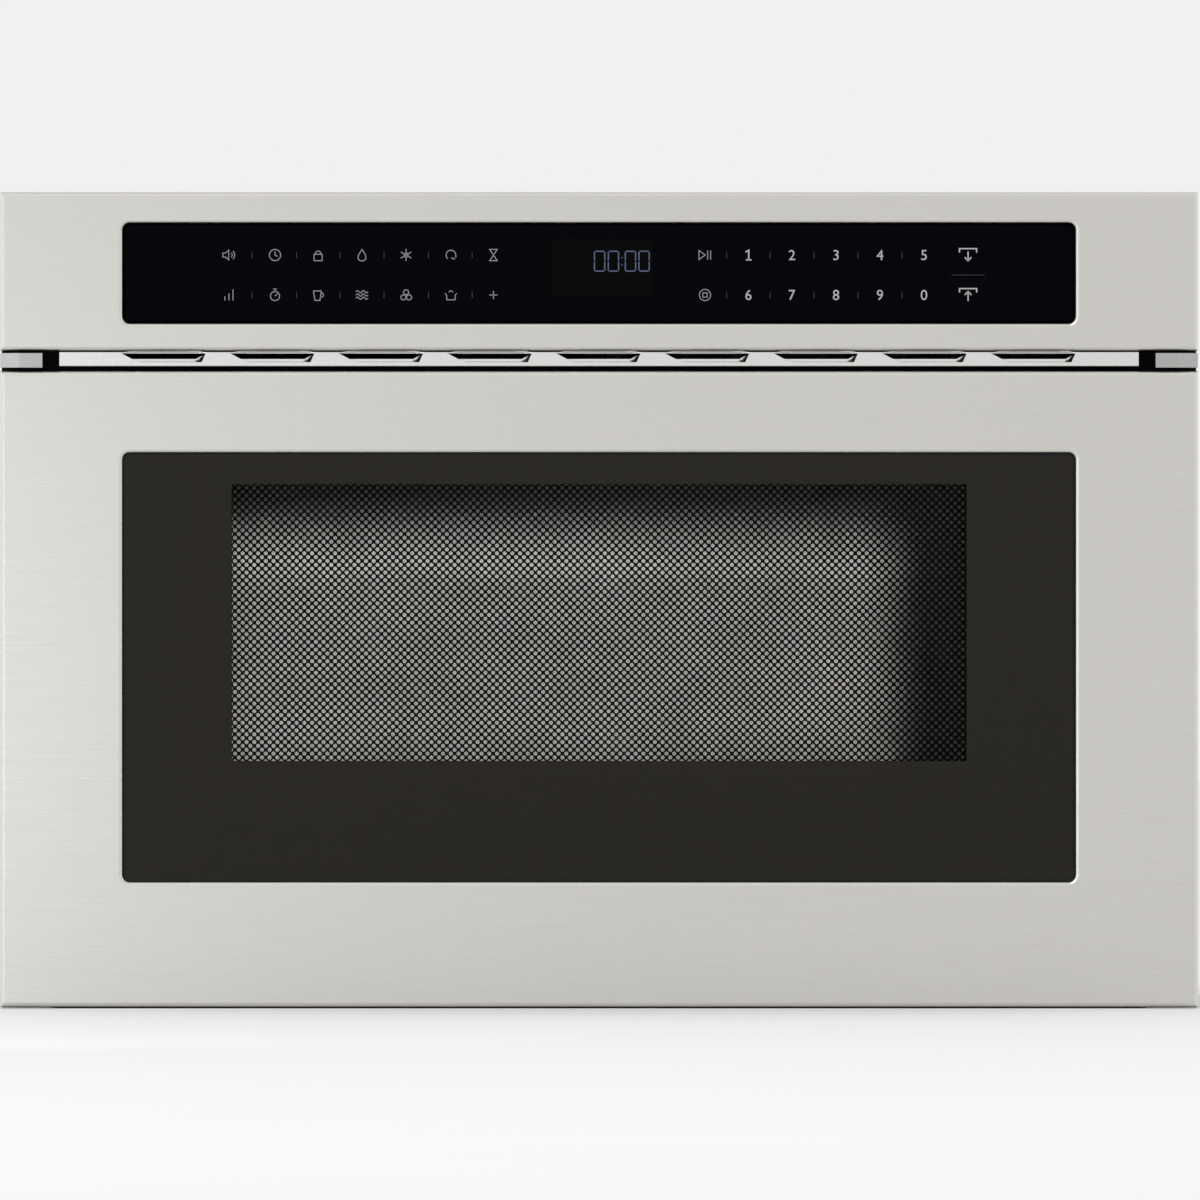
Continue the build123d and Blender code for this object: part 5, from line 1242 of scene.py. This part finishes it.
class Pen:
    """Draws flat marks on the front as closed, very thin solids."""

    def __init__(self, face: float, thickness: float = 0.00005) -> None:
        """Starts a drawing on a face that looks along -Y.

        Args:
            face: place of the face along Y.
            thickness: how far the marks stand out of it.
        """
        self.face = face
        self.thickness = thickness
        self.parts: list[Surface] = []

    def fill(self, flat: Array, faces: Array) -> None:
        """Adds a filled shape.

        Args:
            flat: places (x, z), one a row.
            faces: triangles on them.
        """
        points = np.stack([flat[:, 0], np.full(len(flat), self.face - self.thickness), flat[:, 1]], 1)
        self.parts.append(thicken(points, turned_alike(flat, faces), np.array([0.0, self.thickness, 0.0])))

    def stroke(self, line: list | Array, width: float, closed: bool = False) -> None:
        """Adds a line of even width.

        Its two sides are P + n w / 2 and P - n w / 2, where n is the mean of the normals of the two runs
        that meet at P, lengthened so that the width stays even round a corner.

        Args:
            line: places (x, z), one a row.
            width: width of the line.
            closed: joins the end to the start.
        """
        line = np.asarray(line, float)
        ahead = np.roll(line, -1, 0) - line
        behind = line - np.roll(line, 1, 0)
        if not closed:
            ahead[-1] = behind[-1]
            behind[0] = ahead[0]
        ahead /= np.linalg.norm(ahead, axis=1, keepdims=True)
        behind /= np.linalg.norm(behind, axis=1, keepdims=True)
        tangent = ahead + behind
        tangent /= np.maximum(np.linalg.norm(tangent, axis=1, keepdims=True), 1e-9)
        stretch = 1 / np.clip((tangent * ahead).sum(1), 0.45, 1.0)
        normal = np.stack([-tangent[:, 1], tangent[:, 0]], 1) * (stretch * width / 2)[:, None]
        left, right = line + normal, line - normal
        if closed:
            left, right = (np.concatenate([s, s[:1]]) for s in (left, right))
        points, faces = weld(np.concatenate([left, right]), triangles_of_grid(2, len(left)), 1e-8)
        self.fill(points, faces)

    def text(self, body: str, x: float, z: float, size: float) -> None:
        """Adds digits in the plain built-in face, centred on a place.

        Args:
            body: the digits.
            x: place of their middle along X.
            z: height of their middle.
            size: size of the face.
        """
        curve = bpy.data.curves.new("digit", "FONT")
        curve.body, curve.size, curve.resolution_u = body, size, 4
        curve.align_x, curve.align_y = "CENTER", "CENTER"
        holder = bpy.data.objects.new("digit", curve)
        mesh = bpy.data.meshes.new_from_object(holder)
        mesh.calc_loop_triangles()
        flat = np.empty(len(mesh.vertices) * 3)
        mesh.vertices.foreach_get("co", flat)
        faces = np.empty(len(mesh.loop_triangles) * 3, np.int32)
        mesh.loop_triangles.foreach_get("vertices", faces)
        flat = flat.reshape(-1, 3)[:, :2]
        middle = (flat.min(0) + flat.max(0)) / 2
        points, faces = weld(flat - middle + np.array([x, z]), faces.reshape(-1, 3), 1e-7)
        self.fill(points, faces)
        bpy.data.meshes.remove(mesh)
        bpy.data.objects.remove(holder)
        bpy.data.curves.remove(curve)

    def finish(self, name: str, finish: Finish) -> bpy.types.Object:
        """Makes the drawing one piece of the housing."""
        points, faces = join(self.parts)
        return add_piece(name, points, faces, finish, "housing")


def arc(x: float, z: float, radius: float, start: float = 0.0, stop: float = 360.0) -> Array:
    """Places (x + r cos a, z + r sin a) for a from start to stop degrees."""
    angle = np.radians(np.linspace(start, stop, 21))
    return np.stack([x + radius * np.cos(angle), z + radius * np.sin(angle)], 1)


def ring(x: float, z: float, radius: float) -> Array:
    """A whole circle without its repeated last place."""
    return arc(x, z, radius)[:-1]


def drop(width: float, height: float) -> Array:
    """A drop: x = width sin t sin^1.5(t / 2), z = height cos t, for t once round."""
    t = np.linspace(0, 2 * math.pi, 25)[:-1]
    return np.stack([width * np.sin(t) * np.sin(t / 2) ** 1.5, height * np.cos(t)], 1)


def wave(z: float) -> Array:
    """Two periods of a sine across the symbol."""
    x = np.linspace(-0.45, 0.45, 25)
    return np.stack([x, z + 0.08 * np.sin(x / 0.45 * 2 * math.pi)], 1)


@dataclass(frozen=True, eq=False)
class Drawing:
    """Lines of a symbol in a unit square, each with whether it closes.

    Args:
        lines: pairs of places (x, z) and whether the last joins the first.
    """

    lines: list


class Symbol(Enum):
    """Plain symbols for the touch fields."""

    SOUND = Drawing([([(-.45, -.15), (-.25, -.15), (-.02, -.36), (-.02, .36), (-.25, .15), (-.45, .15)],
                      True), (arc(.05, 0, .2, -50, 50), False), (arc(.05, 0, .38, -50, 50), False)])
    CLOCK = Drawing([(ring(0, 0, .42), True), ([(0, .26), (0, 0), (.19, -.1)], False)])
    LOCK = Drawing([([(-.3, -.42), (.3, -.42), (.3, .06), (-.3, .06)], True),
                    (arc(0, .1, .2, 0, 180), False)])
    DROP = Drawing([(drop(.42, .44), True)])
    FLAKE = Drawing([([(0, -.45), (0, .45)], False), ([(-.39, -.225), (.39, .225)], False),
                     ([(-.39, .225), (.39, -.225)], False), (ring(0, 0, .16), True)])
    TURN = Drawing([(arc(0, 0, .36, -50, 230), False), ([(.02, -.2), (.24, -.3), (.4, -.08)], False)])
    GLASS = Drawing([([(-.28, .42), (.28, .42), (-.28, -.42), (.28, -.42)], True)])
    BARS = Drawing([([(-.3, -.4), (-.3, -.1)], False), ([(0, -.4), (0, .12)], False),
                    ([(.3, -.4), (.3, .4)], False)])
    TIMER = Drawing([(ring(0, -.08, .34), True), ([(0, .26), (0, .44)], False),
                     ([(-.14, .44), (.14, .44)], False), ([(0, -.08), (.16, .08)], False)])
    CUP = Drawing([([(-.34, .3), (-.24, -.4), (.14, -.4), (.24, .3)], True),
                   (arc(.22, 0, .18, -80, 80), False)])
    WAVES = Drawing([(wave(-.24), False), (wave(0), False), (wave(.24), False)])
    KERNELS = Drawing([(ring(-.2, -.18, .19), True), (ring(.22, -.18, .19), True),
                       (ring(0, .2, .19), True)])
    POT = Drawing([([(-.34, .1), (-.3, -.36), (.3, -.36), (.34, .1)], True),
                   ([(-.46, .1), (.46, .1)], False), (arc(0, .14, .16, 20, 160), False)])
    PLUS = Drawing([([(-.3, 0), (.3, 0)], False), ([(0, -.3), (0, .3)], False)])
    ONE = Drawing([([(-.2, .2), (.02, .33), (.02, -.33)], False), ([(-.17, -.33), (.21, -.33)], False)])
    START = Drawing([([(-.45, -.34), (-.45, .34), (.02, 0)], True), ([(.2, -.34), (.2, .34)], False),
                     ([(.42, -.34), (.42, .34)], False)])
    STOP = Drawing([(ring(0, 0, .42), True),
                    ([(-.16, -.16), (.16, -.16), (.16, .16), (-.16, .16)], True)])
    OUT = Drawing([([(-.62, .18), (-.62, .46), (.62, .46), (.62, .18)], False),
                   ([(0, .26), (0, -.4)], False), ([(-.24, -.16), (0, -.42), (.24, -.16)], False)])
    IN = Drawing([([(-.62, .18), (-.62, .46), (.62, .46), (.62, .18)], False),
                  ([(0, .24), (0, -.44)], False), ([(-.24, 0), (0, .26), (.24, 0)], False)])


@dataclass(frozen=True)
class Clock:
    """Idle clock: four digits with their outer segments lit, and two dots between.

    Args:
        height: height of the middles of the digits.
        digits: places along X of the middles of the digits.
        size: width and height of a digit, to the middles of its segments.
        gap: how much shorter a segment is at each end.
        line: width of a segment.
        dot: left and right end of a dot.
        rise: height of a dot above or below the middle.
    """

    height: float = 0.3778
    digits: tuple[float, ...] = (0.0003, 0.0073, 0.0159, 0.0228)
    size: tuple[float, float] = (0.0052, 0.0100)
    gap: float = 0.0003
    line: float = 0.0006
    dot: tuple[float, float] = (0.0113, 0.0119)
    rise: float = 0.0018

    def draw(self, pen: Pen) -> None:
        """Draws the digits and the dots.

        Args:
            pen: what draws them.
        """
        z, gap, half_w, half_h = self.height, self.gap, self.size[0] / 2, self.size[1] / 2
        for x in self.digits:
            for level in (z - half_h, z + half_h):
                pen.stroke([(x - half_w + gap, level), (x + half_w - gap, level)], self.line)
            for side in (x - half_w, x + half_w):
                for end in (-1, 1):
                    pen.stroke([(side, z + end * gap), (side, z + end * (half_h - gap))], self.line)
        for level in (z - self.rise, z + self.rise):
            pen.stroke([(self.dot[0], level), (self.dot[1], level)], self.line)


@dataclass
class ControlPanel(SubAssembly):
    """Touch panel behind its glass, with plain digits, a clock and plain symbols.

    Args:
        upper: height of the upper row of marks.
        lower: height of the lower row.
        symbols: places along X of the left group.
        digits: places along X of the digits.
        function: place along X of the two marks left of the digits.
        motion: place along X of the two larger marks at the right.
        symbol_size: width of a symbol.
        motion_size: width of the larger marks, but for their ends.
        digit_size: size of a digit.
        line: width of a symbol's lines. Those of the larger marks and of the digit one are wider.
        tick: length and width of the ticks between the fields.
        bar: length and width of the line between the larger marks.
    """

    finishes: dict[str, Finish] = field(default_factory=lambda: {
        "control_glass": CONTROL_GLASS, "touch_board": circuit_finish("touch_board"),
        "display_module": DARK_PLASTIC, "control_carrier": DARK_PLASTIC,
        "control_board": circuit_finish("control_board")})
    upper: float = 0.3809
    lower: float = 0.3607
    symbols: tuple[float, ...] = (-0.1872, -0.1639, -0.1421, -0.1199, -0.0976, -0.0749, -0.0534)
    digits: tuple[float, ...] = (0.0756, 0.0976, 0.1199, 0.1421, 0.1644)
    function: float = 0.0536
    motion: float = 0.1867
    symbol_size: float = 0.0068
    motion_size: float = 0.0070
    digit_size: float = 0.0074
    line: float = 0.00042
    tick: tuple[float, float] = (0.0034, 0.00032)
    bar: tuple[float, float] = (0.0168, 0.0003)

    def build(self) -> None:
        """Draws the marks on the face of the control glass."""
        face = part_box("control_glass")[0].y
        bright, soft, dim, lit = (Pen(face) for _ in range(4))
        rows = ((self.upper, "12345", (Symbol.SOUND, Symbol.CLOCK, Symbol.LOCK, Symbol.DROP, Symbol.FLAKE,
                                       Symbol.TURN, Symbol.GLASS), Symbol.START, Symbol.OUT),
                (self.lower, "67890", (Symbol.BARS, Symbol.TIMER, Symbol.CUP, Symbol.WAVES, Symbol.KERNELS,
                                       Symbol.POT, Symbol.PLUS), Symbol.STOP, Symbol.IN))
        for z, digits, symbols, function, motion in rows:
            for x, digit in zip(self.digits, digits):
                if digit == "1":
                    self.draw(bright, Symbol.ONE, x, z, self.digit_size, self.line * 1.6)
                else:
                    bright.text(digit, x, z, self.digit_size)
            for x, symbol in zip(self.symbols, symbols):
                self.draw(soft, symbol, x, z, self.symbol_size, self.line)
            self.draw(soft, function, self.function, z, self.symbol_size, self.line)
            self.draw(bright, motion, self.motion, z, self.motion_size, self.line * 1.5)
            length, width = self.tick
            for places in (self.symbols, (self.function, *self.digits)):
                for left, right in zip(places[:-1], places[1:]):
                    x = (left + right) / 2
                    dim.stroke([(x, z - length / 2), (x, z + length / 2)], width)
        length, width = self.bar
        middle = (self.upper + self.lower) / 2
        dim.stroke([(self.motion - length / 2, middle), (self.motion + length / 2, middle)], width)
        Clock().draw(lit)
        bright.finish("panel_digits", INK)
        soft.finish("panel_symbols", SOFT_INK)
        dim.finish("panel_ticks", DIM_INK)
        lit.finish("clock_digits", CLOCK_LIGHT)

    @staticmethod
    def draw(pen: Pen, symbol: Symbol, x: float, z: float, size: float, width: float) -> None:
        """Draws a symbol of a given size round a place."""
        for line, closed in symbol.value.lines:
            pen.stroke(np.asarray(line, float) * size + np.array([x, z]), width, closed)


# ---------------------------------------------------------------- studio
@dataclass(frozen=True)
class Lamp:
    """A rectangular area lamp.

    Args:
        name: name of the lamp.
        place: where it hangs.
        target: where it points.
        size: its width and height.
        power: watts.
        color: colour of its light.
        spread: angle that its light fills, in degrees.
        bounces: how often its light is passed on.
        unseen: hides the lamp itself from the camera, also behind glass.
    """

    name: str
    place: Place
    target: Place
    size: tuple[float, float]
    power: float
    color: Color = (1.0, 1.0, 1.0)
    spread: float = 180.0
    bounces: int = 1024
    unseen: bool = True

    def hang(self) -> None:
        """Adds the lamp to the scene."""
        data = bpy.data.lights.new(self.name, "AREA")
        data.shape = "RECTANGLE"
        data.size, data.size_y, data.energy = *self.size, self.power
        data.color = self.color
        data.spread = math.radians(self.spread)
        data.cycles.max_bounces = self.bounces
        lamp = bpy.data.objects.new(self.name, data)
        lamp.location = self.place
        way = np.array(self.target) - np.array(self.place)
        tilt = math.acos(-way[2] / np.linalg.norm(way))
        lamp.rotation_euler = (tilt, 0.0, math.atan2(way[1], way[0]) - math.pi / 2)
        lamp.visible_camera = lamp.visible_transmission = not self.unseen
        bpy.context.scene.collection.objects.link(lamp)


KEY_LIGHT = Lamp("key_light", (-3.0, -5.0, 4.5), (0.0, -0.2, 0.1), (3.0, 3.0), 90.0, unseen=False)
SIDE_LIGHT = Lamp("side_light", (-0.83, -1.8, 0.15), (-0.83, 0.0, 0.15), (0.85, 0.28), 1.45,
                  (0.80, 0.90, 1.0))
OVEN_LIGHT = Lamp("oven_light", (-0.0235, 0.02, 0.1785), (-0.0235, 1.0, 0.1785), (0.343, 0.12), 0.2,
                  (1.0, 0.955, 0.92), 20.0, 2)


@dataclass
class Studio:
    """Camera at the photograph's angle, pale floor, soft light and the light in the oven.

    Args:
        field: width that the picture shows at the front of the appliance.
        distance: from the camera to that front.
        sensor: width of the camera's sensor in millimetres.
        middle: place of the picture's middle along X and Z.
        reach: how far the floor goes from the middle.
        drop: how far the floor lies below the appliance.
        sky: level of the even part of the sky.
        left: what the sky gains towards -X.
        right: what it gains towards +X.
        above: what it gains towards +Z.
    """

    field: float = 0.60701
    distance: float = 16.0
    sensor: float = 36.0
    middle: tuple[float, float] = (0.0005, 0.2064)
    reach: float = 20.0
    drop: float = 0.0002
    sky: float = 0.88
    left: float = 0.6
    right: float = 0.35
    above: float = 0.05

    def build(self) -> None:
        """Builds the whole studio."""
        scene = bpy.context.scene
        scene.view_settings.view_transform = "Standard"
        self.camera(scene)
        self.floor()
        self.world(scene)
        for lamp in (KEY_LIGHT, SIDE_LIGHT, OVEN_LIGHT):
            lamp.hang()

    def camera(self, scene: bpy.types.Scene) -> None:
        """A long lens straight on, whose field at the front is that of the photograph.

        Args:
            scene: the scene that it films.
        """
        data = bpy.data.cameras.new("camera")
        data.sensor_width = self.sensor
        data.lens = self.sensor * self.distance / self.field
        data.clip_start, data.clip_end = 0.5, 60.0
        camera = bpy.data.objects.new("camera", data)
        camera.location = (self.middle[0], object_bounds()[0].y - self.distance, self.middle[1])
        camera.rotation_euler = (math.pi / 2, 0.0, 0.0)
        scene.collection.objects.link(camera)
        scene.camera = camera

    def floor(self) -> None:
        """A wide pale floor."""
        side = np.array([-self.reach, self.reach])
        x, y = np.meshgrid(side, side)
        points = np.stack([x.ravel(), y.ravel(), np.full(4, -self.drop)], 1)
        mesh = bpy.data.meshes.new("floor")
        mesh.from_pydata(points.tolist(), [], [(0, 1, 3, 2)])
        material = bpy.data.materials.new("floor_pale")
        ground = Ground.of(material)
        patch = ground.pattern(Pattern.MOTTLE, Scale=3.0)["Value"]
        ground.link("Base Color", ground.graph.mix(patch, (0.80, 0.80, 0.80), (0.79, 0.79, 0.79)))
        ground.fix("Roughness", 0.7)
        ground.fix("Specular IOR Level", 0.2)
        mesh.materials.append(material)
        floor = bpy.data.objects.new("floor", mesh)
        bpy.context.scene.collection.objects.link(floor)
        floor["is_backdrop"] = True

    def world(self, scene: bpy.types.Scene) -> None:
        """A soft even sky, brighter towards both sides and above.

        With the direction (x, y, z), the level is a base, plus one share that grows with -x, one that grows
        with x and one that grows with z, each between two places near and far.

        Args:
            scene: the scene that it lights.
        """
        world = bpy.data.worlds.new("studio")
        world.use_nodes = True
        graph = Graph(world.node_tree)
        near, far = 0.45, 0.95
        way = graph.axes(graph.add("TexCoord").outputs["Generated"])
        left = graph.spread(way[0], -near, -far, 0.0, self.left)
        right = graph.spread(way[0], near, far, 0.0, self.right)
        above = graph.spread(way[2], near, far, self.sky, self.sky + self.above)
        level = graph.math("ADD", graph.math("ADD", left, right), above)
        back = world.node_tree.nodes["Background"]
        back.inputs["Color"].default_value = (1.0, 1.0, 1.0, 1.0)
        graph.tree.links.new(level, back.inputs["Strength"])
        scene.world = world


def main() -> None:
    """Builds the studio and every sub-assembly."""
    logging.basicConfig(level=logging.INFO, format="%(name)s: %(message)s")
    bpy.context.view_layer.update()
    Studio().build()
    for assembly in (Housing(), Cavity(), Cooling(), PowerSupply(), Slides(), Interlocks(), DrawerBody(),
                     VentStrip(), ControlPanel()):
        assembly.dress()
        assembly.build()


if __name__ == "__main__":
    main()
